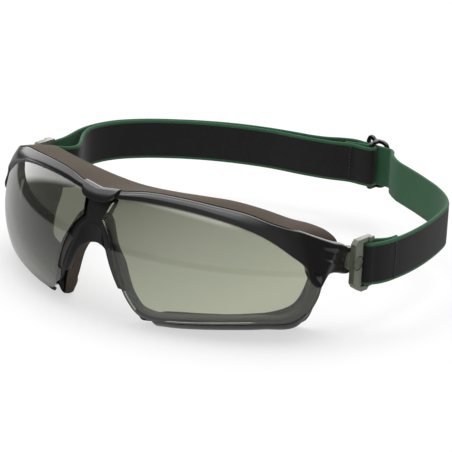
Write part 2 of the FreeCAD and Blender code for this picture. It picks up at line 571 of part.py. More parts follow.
# outline of an end rail, from the slider's middle and the slot's end: two humps, one turned down
SLIDER_OUTSIDE = [(-6.2, -0.4), (-6.1, 1.2), (-5.2, 2.5), (-4.2, 2.8), (-3.2, 2.5), (-2.3, 1.7), (-1.3, 1.5),
                  (0.6, 1.6), (2.6, 1.5), (4.2, 0.9), (5.4, -0.4), (6.1, -2.0), (6.2, -3.8)]
SLIDER_INSIDE = [(-4.6, -0.4), (-4.4, 0.4), (-3.6, 0.4), (-2.6, -0.2), (-1.4, -0.2), (0.6, -0.1), (2.2, -0.3),
                 (3.2, -1.0), (3.9, -2.2), (4.0, -3.8)]


def slider_plate(half, front, thickness):
    """Plate between two like edges; each edge is given from the slider's middle and the slot's end."""
    high = [Vector(SLIDER_X + x, front, SLOT_HIGH_Z + z) for x, z in half]
    low = [Vector(SLIDER_X + x, front, SLOT_LOW_Z - z) for x, z in reversed(half)]
    return Part.Face(Part.makePolygon(high + low + high[:1])).extrude(Vector(0, thickness, 0))


def make_strap_slider():
    low, high = SLOT_LOW_Z - SLIDER_SIDE, SLOT_HIGH_Z + SLIDER_SIDE
    front = SLIDER_END_Y - SLIDER_RAIL_HALF
    ring = slider_plate(SLIDER_OUTSIDE, front, 2 * SLIDER_RAIL_HALF)
    ring = ring.cut(slider_plate(SLIDER_INSIDE, front - SLIDER_RAIL_HALF, 4 * SLIDER_RAIL_HALF))
    middle_bar = Part.makeCylinder(SLIDER_BAR_RADIUS, high - low, Vector(SLIDER_X, SLIDER_CENTRE_Y, low))
    across, reach = (SLIDER_X - SLIDER_RAIL_HALF, SLIDER_X + SLIDER_RAIL_HALF), (SLIDER_CENTRE_Y, SLIDER_END_Y)
    links = [block(across, reach, (low + SLIDER_LINK_INSET, SLOT_LOW_Z - FIT)),
             block(across, reach, (SLOT_HIGH_Z + FIT, high - SLIDER_LINK_INSET))]
    return ring.fuse([middle_bar] + links)


SEAM_PROUD = STRAP_THICKNESS / 2 + THREAD_GAP + STITCH_RADIUS
CLIP_SEAM = beside([NEAR_RUN[1], (90.65, 83.2), NEAR_RUN[2]], -SEAM_PROUD)[0]
LOOP_SEAM = beside(RETURN_LOOSE[-2:] + [(SLIDER_X, SLIDER_CENTRE_Y - LOOP_RADIUS)], -SEAM_PROUD)[0]


def stitch_row(x, y):
    """Row of thread stitches that lie along Z on the webbing's face."""
    pitch = STRAP_WIDTH / STITCH_COUNT
    return Part.makeCompound([
        Part.makeCylinder(STITCH_RADIUS, pitch * 0.7, Vector(x, y, STRAP_LOW_Z + pitch * (k + 0.15)))
        for k in range(STITCH_COUNT)])


# ---------------------------------------------------------------- every piece
front_frame = make_front_frame()
seal_side = make_lens_frame(LENS_THICKNESS, SEAL_BACK, 2 * RIM_INSET)
lens_seal = Part.makeCompound([seal_side, mirrored(seal_side)])
lens_rim = make_lens_frame(SEAL_BACK, RIM_BACK, RIM_INSET)
nose_bridge = make_nose_bridge()
bridge_tab = largest(wrap_wall(-TAB_PROUD, -FIT).common(tab_outline))
pieces = {
    "front_frame": front_frame,
    "lens_shield": largest(wrap_wall(0, LENS_THICKNESS).common(lens_outline)),
    "bridge_tab": bridge_tab,
    "lens_seal": lens_seal,
    "lens_rim": lens_rim,
    "nose_bridge": nose_bridge,
    "face_skirt": make_face_skirt(),
    "head_strap": make_head_strap(),
    "strap_return": make_strap_return(),
    "strap_slider": make_strap_slider(),
    "strap_stitch_clip": stitch_row(*CLIP_SEAM),
    "strap_stitch_loop": stitch_row(*LOOP_SEAM),
}
for name, shape in (("nose_pad", make_nose_pad()), ("vent_rail", four_sided(rail_stations())),
                    ("pivot_stud", make_pivot_stud()), ("strap_clip", make_strap_clip())):
    pieces[name + "_left"] = shape
    pieces[name + "_right"] = mirrored(shape)

whole = Part.makeCompound(list(pieces.values())).optimalBoundingBox(False)
origin = Vector(whole.Center.x, whole.Center.y, whole.ZMin)
os.makedirs("parts", exist_ok=True)
for name, shape in pieces.items():
    shape.translated(-origin).exportStep("parts/%s.step" % name)
    print(name, "valid" if shape.isValid() else "INVALID", "volume %.1f mm3" % shape.Volume)
print("origin", tuple(round(v, 3) for v in origin))
print("size", [round(v, 2) for v in (whole.XLength, whole.YLength, whole.ZLength)])
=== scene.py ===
# Welding goggles: one-piece tinted lens under a glossy brow bar, with a soft face skirt behind it
# and an elastic head strap on two swivelling clips.  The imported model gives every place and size.
import math

import bmesh
import bpy
import numpy as np
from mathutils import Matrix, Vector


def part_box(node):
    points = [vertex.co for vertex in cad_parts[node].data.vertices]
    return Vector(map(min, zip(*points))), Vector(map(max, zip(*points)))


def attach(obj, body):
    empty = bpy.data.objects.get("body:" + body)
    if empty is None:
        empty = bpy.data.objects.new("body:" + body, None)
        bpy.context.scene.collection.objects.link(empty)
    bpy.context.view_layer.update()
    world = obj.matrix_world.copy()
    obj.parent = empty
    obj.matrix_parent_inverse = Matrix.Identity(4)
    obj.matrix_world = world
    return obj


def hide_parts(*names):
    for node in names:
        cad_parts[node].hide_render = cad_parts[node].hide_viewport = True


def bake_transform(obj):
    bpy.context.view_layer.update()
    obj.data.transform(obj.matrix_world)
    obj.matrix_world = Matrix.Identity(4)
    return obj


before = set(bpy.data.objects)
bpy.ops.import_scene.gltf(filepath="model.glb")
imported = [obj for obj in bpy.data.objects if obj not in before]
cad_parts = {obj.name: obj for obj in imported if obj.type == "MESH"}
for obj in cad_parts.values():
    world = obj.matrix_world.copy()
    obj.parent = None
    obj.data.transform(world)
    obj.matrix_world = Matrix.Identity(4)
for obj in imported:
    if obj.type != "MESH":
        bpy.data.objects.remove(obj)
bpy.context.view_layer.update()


# ------------------------------------------------------------------ measuring frame
# Lengths below are in millimetres from the middle of the lens's front.  The two pivot studs, which
# lie at x = +-82, y = 65 and z = 0.5 there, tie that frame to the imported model.
PIVOT = (0.0, 65.0, 0.5)
stud_boxes = [np.array(corner) for side in ("left", "right")
              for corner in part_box("pivot_stud_" + side)]
SHIFT = np.mean(stud_boxes, axis=0) - np.array(PIVOT) / 1000


def place(points):
    """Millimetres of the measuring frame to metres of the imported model: a scale, then a shift."""
    return np.asarray(points, float) / 1000 + SHIFT


# ------------------------------------------------------------------ camera
# A long lens that looks down at the wearer's left front, slightly rolled.
CAMERA_TURN, CAMERA_RISE, CAMERA_ROLL = (math.radians(a) for a in (37.754, 19.219, 3.061))
CAMERA_TARGET = (22.807, 60.0, 1.013)
CAMERA_DISTANCE = 1152.868
CAMERA_LENS = 224.45

back = np.array([math.sin(CAMERA_TURN) * math.cos(CAMERA_RISE),
                 -math.cos(CAMERA_TURN) * math.cos(CAMERA_RISE), math.sin(CAMERA_RISE)])
level = np.array([math.cos(CAMERA_TURN), math.sin(CAMERA_TURN), 0.0])
upward = np.cross(back, level)
right = math.cos(CAMERA_ROLL) * level + math.sin(CAMERA_ROLL) * upward
above = math.cos(CAMERA_ROLL) * upward - math.sin(CAMERA_ROLL) * level

camera_data = bpy.data.cameras.new("camera")
camera_data.lens = CAMERA_LENS
camera_data.sensor_width = 36.0
camera_data.clip_start = 0.05
camera_data.clip_end = 50.0
camera = bpy.data.objects.new("camera", camera_data)
bpy.context.scene.collection.objects.link(camera)
pose = np.eye(4)
pose[:3, :3] = np.stack([right, above, back], axis=1)
pose[:3, 3] = place(np.array(CAMERA_TARGET) + CAMERA_DISTANCE * back)
camera.matrix_world = pose.T.tolist()
bpy.context.scene.camera = camera
bpy.context.scene.view_settings.view_transform = "Standard"


# ------------------------------------------------------------------ studio
# White paper floor that runs into a white background, with one wide soft box overhead.  Only the
# camera sees both as plain white.  Glossy rays see a dimmer paper and a dim room with a reflector
# and a ceiling in it, and rays through the lens see the paper shaded towards the wearer's right.
def linear(code):
    """sRGB hex colour to linear RGBA: the standard curve, with its straight part near black."""
    channels = [int(code[k:k + 2], 16) / 255 for k in (1, 3, 5)]
    return [c / 12.92 if c <= 0.04045 else ((c + 0.055) / 1.055) ** 2.4 for c in channels] + [1.0]


def add_node(tree, kind, links=(), **settings):
    """One shader node: settings by name go to a property or an input, links are (input, output)."""
    node = tree.nodes.new("ShaderNode" + kind)
    for name, value in settings.items():
        if hasattr(node, name):
            setattr(node, name, value)
        else:
            node.inputs[name.replace("_", " ")].default_value = value
    for name, source in links:
        tree.links.new(source, node.inputs[name])
    return node


HALF_FLOOR, FLOOR_LEVEL = 3.0, -0.0002
floor_mesh = bpy.data.meshes.new("floor")
floor_mesh.from_pydata([(x * HALF_FLOOR, y * HALF_FLOOR, FLOOR_LEVEL)
                        for x, y in ((-1, -1), (1, -1), (1, 1), (-1, 1))], [], [(0, 1, 2, 3)])
floor = bpy.data.objects.new("floor", floor_mesh)
bpy.context.scene.collection.objects.link(floor)
paper = bpy.data.materials.new("white paper sweep")
paper.use_nodes = True
sheet = paper.node_tree
paper_shader = sheet.nodes["Principled BSDF"]
paper_shader.inputs["Base Color"].default_value = linear("#fafafa")
paper_shader.inputs["Roughness"].default_value = 0.9
paper_shader.inputs["Specular IOR Level"].default_value = 0.1
floor_mesh.materials.append(paper)


def seen_directly(tree):
    """Factors that are 1 for camera or transmission rays, for glossy and for transmission rays."""
    ray = add_node(tree, "LightPath")
    direct = add_node(tree, "Math", [(0, ray.outputs["Is Camera Ray"]),
                                     (1, ray.outputs["Is Transmission Ray"])], operation="MAXIMUM")
    return direct.outputs[0], ray.outputs["Is Glossy Ray"], ray.outputs["Is Transmission Ray"]


# To the camera the paper is nearly white and keeps a faint shadow, as SHADOW_FADE of it is plain
# white.  Glossy rays see it at MIRROR_PAPER out to PAPER_REACH metres and nearly dark beyond.  Rays
# through the lens see it go from the first to the second LENS_PAPER between the two LENS_PAPER_X.
SHADOW_FADE = 0.6
PAPER_REACH, REACH_BEFORE, REACH_AFTER = 0.36, 0.03, 0.05
MIRROR_PAPER, MIRROR_BEYOND = 0.5, 0.06
LENS_PAPER_X, LENS_PAPER = (-0.085, 0.035), (0.42, 1.2)
direct, glossy, through = seen_directly(sheet)
glow = add_node(sheet, "Emission", Color=(1, 1, 1, 1), Strength=1.0)
soft_shadow = add_node(sheet, "MixShader", [(1, paper_shader.outputs[0]), (2, glow.outputs[0])],
                       Fac=SHADOW_FADE)
where = add_node(sheet, "TexCoord")
far = add_node(sheet, "VectorMath", [(0, where.outputs["Object"])], operation="LENGTH")
reach = add_node(sheet, "MapRange", [("Value", far.outputs["Value"])],
                 From_Min=PAPER_REACH - REACH_BEFORE, From_Max=PAPER_REACH + REACH_AFTER,
                 To_Min=MIRROR_PAPER, To_Max=MIRROR_BEYOND)
mirror_glow = add_node(sheet, "Emission", [("Strength", reach.outputs[0])], Color=(1, 1, 1, 1))
across = add_node(sheet, "SeparateXYZ", [("Vector", where.outputs["Object"])])
shade = add_node(sheet, "MapRange", [("Value", across.outputs["X"])], From_Min=LENS_PAPER_X[0],
                 From_Max=LENS_PAPER_X[1], To_Min=LENS_PAPER[0], To_Max=LENS_PAPER[1])
shaded = add_node(sheet, "Emission", [("Strength", shade.outputs[0])], Color=(1, 1, 1, 1))
open_paper = add_node(sheet, "MixShader", [(0, through), (1, soft_shadow.outputs[0]),
                                           (2, shaded.outputs[0])])
lit_paper = add_node(sheet, "MixShader", [(0, glossy), (1, paper_shader.outputs[0]),
                                          (2, mirror_glow.outputs[0])])
all_paper = add_node(sheet, "MixShader", [(0, direct), (1, lit_paper.outputs[0]),
                                          (2, open_paper.outputs[0])])
sheet.links.new(all_paper.outputs[0], sheet.nodes["Material Output"].inputs["Surface"])

# The background is white to the camera and through the lens.  Glossy rays see a dim room instead,
# with a soft reflector and a pale ceiling.  Each is its direction, the cosines of the angle to it
# where it starts and is full, and its strength.  The ceiling ends where the ray's own x goes from
# the first to the second CEILING_END_X.
ROOM_GLOW, FILL = 0.05, 0.55
REFLECTOR, CEILING = ((0.6, -0.75, 0.28), 0.45, 1.0, 0.35), ((0.0, 0.64, 0.768), 0.0, 0.08, 2.0)
CEILING_END_X = (0.35, 0.55)
world = bpy.data.worlds.new("white studio")
world.use_nodes = True
bpy.context.scene.world = world
sky = world.node_tree
sky.nodes.clear()
direct, glossy, _ = seen_directly(sky)
heading = add_node(sky, "TexCoord")
lobes = []
for aim, start, full, strength in (REFLECTOR, CEILING):
    along = add_node(sky, "VectorMath", [(0, heading.outputs["Generated"])],
                     operation="DOT_PRODUCT")
    along.inputs[1].default_value = aim
    lobe = add_node(sky, "MapRange", [("Value", along.outputs["Value"])], From_Min=start,
                    From_Max=full, To_Min=ROOM_GLOW, To_Max=strength, interpolation_type="SMOOTHSTEP")
    lobes.append(lobe.outputs[0])
toward = add_node(sky, "SeparateXYZ", [("Vector", heading.outputs["Generated"])])
ceiling_end = add_node(sky, "MapRange", [("Value", toward.outputs["X"])], From_Min=CEILING_END_X[0],
                       From_Max=CEILING_END_X[1], To_Min=1.0, To_Max=0.0)
ceiling = add_node(sky, "Math", [(0, lobes[1]), (1, ceiling_end.outputs[0])], operation="MULTIPLY")
room = add_node(sky, "Math", [(0, ceiling.outputs[0]), (1, lobes[0])], operation="ADD")
dim = add_node(sky, "Background", [("Strength", room.outputs[0])], Color=(1, 1, 1, 1))
plain = add_node(sky, "Background", Color=(1, 1, 1, 1), Strength=1.0)
fill = add_node(sky, "Background", Color=(1, 1, 1, 1), Strength=FILL)
lit = add_node(sky, "MixShader", [(0, glossy), (1, fill.outputs[0]), (2, dim.outputs[0])])
mix = add_node(sky, "MixShader", [(0, direct), (1, lit.outputs[0]), (2, plain.outputs[0])])
add_node(sky, "OutputWorld", [("Surface", mix.outputs[0])])


def unit(vectors):
    """Vectors divided by their lengths, along the last axis."""
    return vectors / np.linalg.norm(vectors, axis=-1, keepdims=True)


def soft_box(name, centre, aim, width, height, watts):
    """Rectangular lamp at centre that faces the point aim; both in metres."""
    data = bpy.data.lights.new(name, "AREA")
    data.shape = "RECTANGLE"
    data.size, data.size_y, data.energy = width, height, watts
    lamp = bpy.data.objects.new(name, data)
    bpy.context.scene.collection.objects.link(lamp)
    facing = unit(np.array(centre, float) - np.array(aim, float))
    across = unit(np.cross((0, 0, 1) if abs(facing[2]) < 0.99 else (0, 1, 0), facing))
    turn = np.eye(4)
    turn[:3, :3] = np.stack([across, np.cross(facing, across), facing], axis=1)
    turn[:3, 3] = centre
    lamp.matrix_world = turn.T.tolist()


soft_box("overhead soft box", (-0.15, 0.1, 1.4), (0, 0, 0), 1.6, 1.2, 16.0)


# ------------------------------------------------------------------ brow bar and arms
# Glossy black injection-moulded bar over the lens's top edge, which runs back on each side into a
# flat arm with a round end.  The lens is clipped into a groove along its underside.
WRAP_RADIUS, BULGE_RADIUS, EQUATOR, LEAN = 100.8, 48.0, 1.4, math.radians(6.8)


def wrap(x, z, depth=0.0):
    """Point of the lens's front surface, moved back by depth, at the given x and z.

    The surface is the outside of a ring round an upright axis, with tube radius BULGE_RADIUS and
    outer radius WRAP_RADIUS, leaned back; y is found by halving an interval for all points at once.
    """
    x, z, depth = np.broadcast_arrays(*(np.asarray(v, float) for v in (x, z, depth)))
    low, high = np.full(x.shape, -20.0), np.full(x.shape, 0.75 * WRAP_RADIUS)
    for _ in range(40):
        y = (low + high) / 2
        behind = y * math.cos(LEAN) - (z - EQUATOR) * math.sin(LEAN)
        height = y * math.sin(LEAN) + (z - EQUATOR) * math.cos(LEAN)
        rise = np.sqrt(np.maximum((BULGE_RADIUS - depth) ** 2 - height ** 2, 0))
        reach = WRAP_RADIUS - BULGE_RADIUS + rise
        outside = behind < WRAP_RADIUS - np.sqrt(np.maximum(reach ** 2 - x ** 2, 0))
        low, high = np.where(outside, y, low), np.where(outside, high, y)
    return np.stack([x, (low + high) / 2, z], axis=-1)


def under_wrap(x, z, depth):
    """Point under the lens's front at x and z, moved towards the middle of the lens's plan.

    The step is depth divided by the cosine of asin((z - EQUATOR) / BULGE_RADIUS), the surface's
    slope in height, so that depth is close to the distance square to the surface.
    """
    front = wrap(x, z)
    inward = unit(np.array([0, WRAP_RADIUS, EQUATOR]) - front)
    rise = np.clip((front[..., 2:] - EQUATOR) / BULGE_RADIUS, -0.8, 0.8)
    return front + inward * depth / np.sqrt(1 - rise ** 2)


def smooth(points, count, closed=False):
    """Curve through rows of points: cubic pieces whose slopes are differences over chord length."""
    rows = np.asarray(points, float)
    flat = rows.reshape(len(rows), -1)
    if closed:
        flat = np.concatenate([flat[-2:], flat, flat[:3]])
    reach = np.concatenate([[0.0], np.cumsum(np.linalg.norm(np.diff(flat, axis=0), axis=1))])
    slope = np.gradient(flat, reach, axis=0)
    first, last = (reach[2], reach[len(rows) + 2]) if closed else (reach[0], reach[-1])
    at = np.linspace(first, last, count, endpoint=not closed)
    k = np.clip(np.searchsorted(reach, at, side="right") - 1, 0, len(flat) - 2)
    step = (reach[k + 1] - reach[k])[:, None]
    u = (at - reach[k])[:, None] / step
    curve = ((1 + 2 * u) * (1 - u) ** 2 * flat[k] + u * (1 - u) ** 2 * step * slope[k]
             + u * u * (3 - 2 * u) * flat[k + 1] + u * u * (u - 1) * step * slope[k + 1])
    return curve.reshape((count,) + rows.shape[1:])


def rounded(stations, radius, crown=0.0, straight=6, corner=4):
    """Closed sections from four-cornered stations, shape (n, 4, 3).

    Each side runs straight between two short quadratic corners, and swells outward by crown times a
    half sine wave.
    """
    stations = np.asarray(stations, float)
    following = np.roll(stations, -1, axis=1)
    side = following - stations
    length = np.maximum(np.linalg.norm(side, axis=2, keepdims=True), 1e-6)
    cut = np.minimum(radius, 0.42 * length) / length
    start, end = stations + side * cut, following - side * cut
    outward = (stations + following) / 2 - stations.mean(axis=1, keepdims=True)
    unit = side / length
    outward -= (outward * unit).sum(axis=2, keepdims=True) * unit
    outward /= np.maximum(np.linalg.norm(outward, axis=2, keepdims=True), 1e-6)
    t = np.linspace(0, 1, straight)[None, None, :, None]
    line = start[:, :, None] * (1 - t) + end[:, :, None] * t
    line = line + crown * np.sin(math.pi * t) * outward[:, :, None]
    q = np.linspace(0, 1, corner + 2)[1:-1][None, None, :, None]
    turn = (end[:, :, None] * (1 - q) ** 2 + 2 * q * (1 - q) * following[:, :, None]
            + q * q * np.roll(start, -1, axis=1)[:, :, None])
    return np.concatenate([line, turn], axis=2).reshape(len(stations), -1, 3)


def make_piece(name, rings, body, material, slot, nodes, loop=False, **fields):
    """Closed mesh from rings of points in mm: quads between rings, flat ends unless they loop.

    The faces are turned outwards by the sign of the mesh's volume.  Fields are values per point.
    The body is the name of the body the piece is attached to; given a dict instead, the piece is
    attached to nothing and the dict's from, to, start and end are not read.
    """
    rings = np.asarray(rings, float)
    count, around = rings.shape[:2]
    index = np.arange(count * around).reshape(count, around)
    if loop:
        index = np.concatenate([index, index[:1]])
    ahead = np.roll(index, -1, axis=1)
    quads = np.stack([index[:-1], ahead[:-1], ahead[1:], index[1:]], axis=-1).reshape(-1, 4)
    points = place(rings.reshape(-1, 3))
    a, b, c, d = (points[quads[:, k]] - points.mean(axis=0) for k in range(4))
    volume = np.einsum("ij,ij->i", a, np.cross(b, c) + np.cross(c, d)).sum()
    faces = quads.tolist()
    if not loop:
        faces += [index[0][::-1].tolist(), index[-1].tolist()]
    if volume < 0:
        faces = [face[::-1] for face in faces]
    mesh = bpy.data.meshes.new(name)
    mesh.from_pydata(points.tolist(), [], faces)
    mesh.shade_smooth()
    mesh.set_sharp_from_angle(angle=math.radians(42))
    for field, values in fields.items():
        layer = mesh.attributes.new(field, "FLOAT", "POINT")
        layer.data.foreach_set("value", np.asarray(values, np.float32).ravel())
    mesh.materials.append(material)
    piece = bpy.data.objects.new(name, mesh)
    bpy.context.scene.collection.objects.link(piece)
    if isinstance(body, dict):
        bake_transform(piece)
    else:
        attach(piece, body)
    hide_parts(*nodes)


def mirrored(stations):
    """Stations of the other side in reverse order, so that the row runs on through the middle."""
    return (np.asarray(stations, float) * (-1, 1, 1))[::-1]


def new_material(name, colour, roughness, **sockets):
    """Principled material; sockets give further constant inputs by name."""
    material = bpy.data.materials.new(name)
    material.use_nodes = True
    shader = material.node_tree.nodes["Principled BSDF"]
    shader.inputs["Base Color"].default_value = linear(colour)
    shader.inputs["Roughness"].default_value = roughness
    for socket, value in sockets.items():
        shader.inputs[socket.replace("_", " ")].default_value = value
    return material, material.node_tree, shader


def add_grain(tree, shader, size_mm, height_mm, strength):
    """Bump from noise whose cells are size_mm across, in Object coordinates."""
    where = add_node(tree, "TexCoord")
    noise = add_node(tree, "TexNoise", [("Vector", where.outputs["Object"])], Scale=1000 / size_mm,
                     Detail=2.0)
    bump = add_node(tree, "Bump", [("Height", noise.outputs[0])], Strength=strength,
                    Distance=height_mm / 1000)
    tree.links.new(bump.outputs[0], shader.inputs["Normal"])
    return noise


def vary_roughness(tree, shader, noise, low, high):
    """Roughness that follows a noise between two values, as handling marks do."""
    spread = add_node(tree, "MapRange", [("Value", noise.outputs[0])], To_Min=low, To_Max=high)
    tree.links.new(spread.outputs[0], shader.inputs["Roughness"])


BAR_PROUD, END_PROUD, BAR_DEPTH, ARM_THICKNESS = 1.5, 0.9, 5.7, 3.8
BAR_LOW = [(0, 21.2), (9.5, 21.6), (20, 22.5), (34, 22.3), (47.5, 20.6), (58.5, 17.8), (68, 13.6),
           (75, 8.4), (80.3, 2.3)]
BAR_TOP = [(0, 23.9), (9.2, 24.8), (20, 26.4), (34, 26.4), (46.5, 25.1), (58.5, 22.9), (67.5, 19.6)]
HUB_RADIUS, HUB_X, HUB_Z, HUB_ANGLES = 5.6, 82.0, 0.5, (0, 25, 48, 66, 80, 88)
ARM_LOW = [(82.0, 39.7, -2.0), (83.3, 41.8, -4.9), (84.2, 44.0, -5.4), (84.0, 46.6, -3.4),
           (83.5, 49.6, -1.6), (82.8, 54.0, -2.0), (82.3, 58.5, -3.2)]
ARM_TOP = [(72.3, 38.0, 17.7), (75.4, 42.0, 16.3), (77.6, 46.0, 14.4), (79.2, 49.4, 12.8),
           (80.4, 52.3, 11.5), (81.1, 54.9, 10.4), (81.5, 57.2, 9.6), (81.8, 59.6, 8.8),
           (82.0, 61.8, 7.8)]
BAR_TURN = np.radians([0, 5, 11, 20, 28, 36, 44, 52, 64, 75, 82, 87, 89, 90, 90, 90])
BAR_WALL = np.array([BAR_DEPTH] * 7 + [5.0, 4.6, 4.2, 4.0] + [ARM_THICKNESS] * 5)
BAR_RAISE = np.array([0] * 7 + [0.6, 1.5, 2.4, 2.1, 1.2, 0.6, 0, 0, 0])
SEAT_DROP, BAR_CORNER, BAR_CROWN, FACE_SAMPLES = 2.15, 1.1, 0.25, 26

bar_low = np.array(BAR_LOW)
low_edge = wrap(bar_low[:, 0], bar_low[:, 1], [-BAR_PROUD] * 8 + [-END_PROUD])
low_edge = np.concatenate([low_edge, ARM_LOW])
bar_top = np.array(BAR_TOP)
top_edge = np.concatenate([wrap(bar_top[:, 0], bar_top[:, 1], -BAR_PROUD), ARM_TOP])
inward = np.stack([-np.sin(BAR_TURN), np.cos(BAR_TURN), 0 * BAR_TURN], axis=1) * BAR_WALL[:, None]
skirt_seat = np.stack([0 * BAR_TURN, 0 * BAR_TURN, -SEAT_DROP * np.cos(BAR_TURN)], axis=1)
raised = np.stack([0 * BAR_TURN, 0 * BAR_TURN, BAR_RAISE], axis=1)
bar_stations = np.stack([low_edge, top_edge, top_edge + inward + skirt_seat,
                         low_edge + inward + raised], axis=1)
hub_angle = np.radians(HUB_ANGLES)
hub_y, hub_half = PIVOT[1] + HUB_RADIUS * np.sin(hub_angle), HUB_RADIUS * np.cos(hub_angle)
hub_back = HUB_X - ARM_THICKNESS
hub_stations = np.stack([np.stack([np.full(len(hub_y), x), hub_y, HUB_Z + sign * hub_half], axis=1)
                         for x, sign in ((HUB_X, -1), (HUB_X, 1), (hub_back, 1), (hub_back, -1))],
                        axis=1)
half_bar = np.concatenate([bar_stations, hub_stations])
bar_rings = smooth(np.concatenate([mirrored(half_bar[1:]), half_bar]), 560)
bar_rings = rounded(bar_rings, BAR_CORNER, crown=BAR_CROWN, straight=FACE_SAMPLES, corner=6)

# Shallow recess along the outside of each arm: the outer face's samples are slid across it until
# samples LOW_AT and TOP_AT lie on the recess's edges, and those between them are moved in.
RECESS_DEPTH, LOW_AT, TOP_AT = 0.5, 8, 17
RECESS_Y = (44.0, 50.0, 55.0, 60.6)
RECESS_LOW, RECESS_TOP = (5.2, 3.6, 2.0, 0.1), (10.8, 9.0, 7.2, 5.3)
SLIDE_IN, SLIDE_OUT, SINK_IN, SINK_OUT = (40.0, 44.0), (64.0, 61.5), (44.5, 48.5), (60.6, 60.0)
SAMPLES = np.linspace(0, 1, FACE_SAMPLES)


def ease(value, start, end):
    """Smooth step from 0 at start to 1 at end."""
    t = np.clip((value - start) / (end - start), 0, 1)
    return t * t * (3 - 2 * t)


outer_face = bar_rings[:, :FACE_SAMPLES]
y, z_low, z_top = outer_face[:, FACE_SAMPLES // 2, 1], outer_face[:, 0, 2], outer_face[:, -1, 2]
low_share = (np.interp(y, RECESS_Y, RECESS_LOW) - z_low) / (z_top - z_low)
top_share = (np.interp(y, RECESS_Y, RECESS_TOP) - z_low) / (z_top - z_low)
on_arm = (ease(y, *SLIDE_IN) * ease(y, *SLIDE_OUT))[:, None]
low_share, top_share = np.clip(low_share, 0.2, 0.6)[:, None], np.clip(top_share, 0.5, 0.9)[:, None]
low_at, top_at = SAMPLES[LOW_AT], SAMPLES[TOP_AT]
before, between, after = np.split(SAMPLES[None], [LOW_AT + 1, TOP_AT], axis=1)
slid = np.concatenate([low_share * before / low_at,
                       low_share + (top_share - low_share) * (between - low_at) / (top_at - low_at),
                       top_share + (1 - top_share) * (after - top_at) / (1 - top_at)], axis=1)
slid = (SAMPLES + (slid - SAMPLES) * on_arm) * (FACE_SAMPLES - 1)
cell = np.clip(slid.astype(int), 0, FACE_SAMPLES - 2)
part = (slid - cell)[..., None]
outer_face = (np.take_along_axis(outer_face, cell[..., None], 1) * (1 - part)
              + np.take_along_axis(outer_face, cell[..., None] + 1, 1) * part)
inside = ease(SAMPLES, low_at, SAMPLES[LOW_AT + 2]) * ease(SAMPLES, top_at, SAMPLES[TOP_AT - 2])
inside = inside[None, :] * (ease(y, *SINK_IN) * ease(y, *SINK_OUT))[:, None]
outer_face[..., 0] -= np.sign(outer_face[..., 0]) * RECESS_DEPTH * inside
bar_rings[:, :FACE_SAMPLES] = outer_face

# Polycarbonate from a polished mould: black, mirror-like, with faint waviness and handling marks.
bar_gloss, tree, shader = new_material("polished black polycarbonate", "#1b1919", 0.19, IOR=1.58)
noise = add_grain(tree, shader, 9.0, 0.02, 0.06)
vary_roughness(tree, shader, noise, 0.16, 0.22)
make_piece("brow_bar", bar_rings, "goggle_front", bar_gloss, "brow_plastic", ["front_frame"])


# ------------------------------------------------------------------ lens
# One polycarbonate lens, 2.2 mm thick, tinted smoke green, cut out for the nose.
LENS_THICKNESS, LENS_TUCK = 2.2, 1.3
LENS_END = [(83.7, -1.0), (83.9, -4.2), (82.9, -10.2), (80.2, -16.2), (76.0, -20.0), (66.5, -21.2),
            (56, -22.3), (45.7, -23.6), (36, -24.8), (27.8, -25.4), (23.6, -24.6), (21.0, -22.0),
            (19.2, -18.6), (16.9, -12.9), (14.6, -6.0), (11.6, 2.4), (8.4, 8.8), (4.9, 12.6)]
LENS_NOTCH = [(0, 19.6), (7.0, 19.6), (4.9, 12.6)]


def even(points, count):
    """Points at equal steps along the straight runs through the given points."""
    rows = np.asarray(points, float)
    reach = np.concatenate([[0.0], np.cumsum(np.linalg.norm(np.diff(rows, axis=0), axis=1))])
    at = np.linspace(0, reach[-1], count)
    return np.stack([np.interp(at, reach, rows[:, k]) for k in range(rows.shape[1])], axis=1)


lens_side = smooth(LENS_END[::-1], 400)
lens_low = even(np.concatenate([LENS_NOTCH, lens_side[1:]]), 220)
lens_top = even(bar_low + (0, LENS_TUCK), 220)
lens_low = np.concatenate([lens_low[:0:-1] * (-1, 1), lens_low])
lens_top = np.concatenate([lens_top[:0:-1] * (-1, 1), lens_top])
share = np.linspace(0, 1, 30)[None, :, None]
lens_face = lens_low[:, None] * (1 - share) + lens_top[:, None] * share
front = wrap(lens_face[..., 0], lens_face[..., 1])
rear = under_wrap(lens_face[..., 0], lens_face[..., 1], LENS_THICKNESS)
lens_rings = np.concatenate([front, rear[:, ::-1]], axis=1)

# Tinted polycarbonate, moulded between polished faces: clear, smoke green, with a hard gloss.  The
# colour was set under this file's light, and is a little paler and quite even under plain white.
lens_tint, *_ = new_material("smoke green polycarbonate", "#9b9f8b", 0.0, IOR=1.58,
                             Transmission_Weight=1.0, Coat_Weight=1.0, Coat_IOR=1.5)
make_piece("lens", lens_rings, "goggle_front", lens_tint, "lens", ["lens_shield"])


# ------------------------------------------------------------------ rim and seal behind the lens
# Black moulded U that the lens snaps onto, with a thin soft seal between the two.
SEAL_DEPTH, SEAL_PLAY, RIM_DEPTH, RIM_INSET, SEAL_INSET = 0.7, 0.03, 2.2, 0.12, 0.18
WINDOW_SIDE = [(6.1, 14.4), (8.2, 12.4), (10.2, 8.8), (12.2, 4.8), (14.2, 1.4), (16.8, -4.4),
               (19.0, -10.4), (21.4, -17.6), (23.6, -22.0), (28.0, -23.6), (35.7, -23.1),
               (52.9, -20.9), (67.4, -19.4), (74.0, -18.9), (77.5, -16.5), (80.7, -9.8),
               (81.3, -4.5)]
rim_outer = even(lens_side, 260)
rim_inner = even(smooth(WINDOW_SIDE, 400), 260)


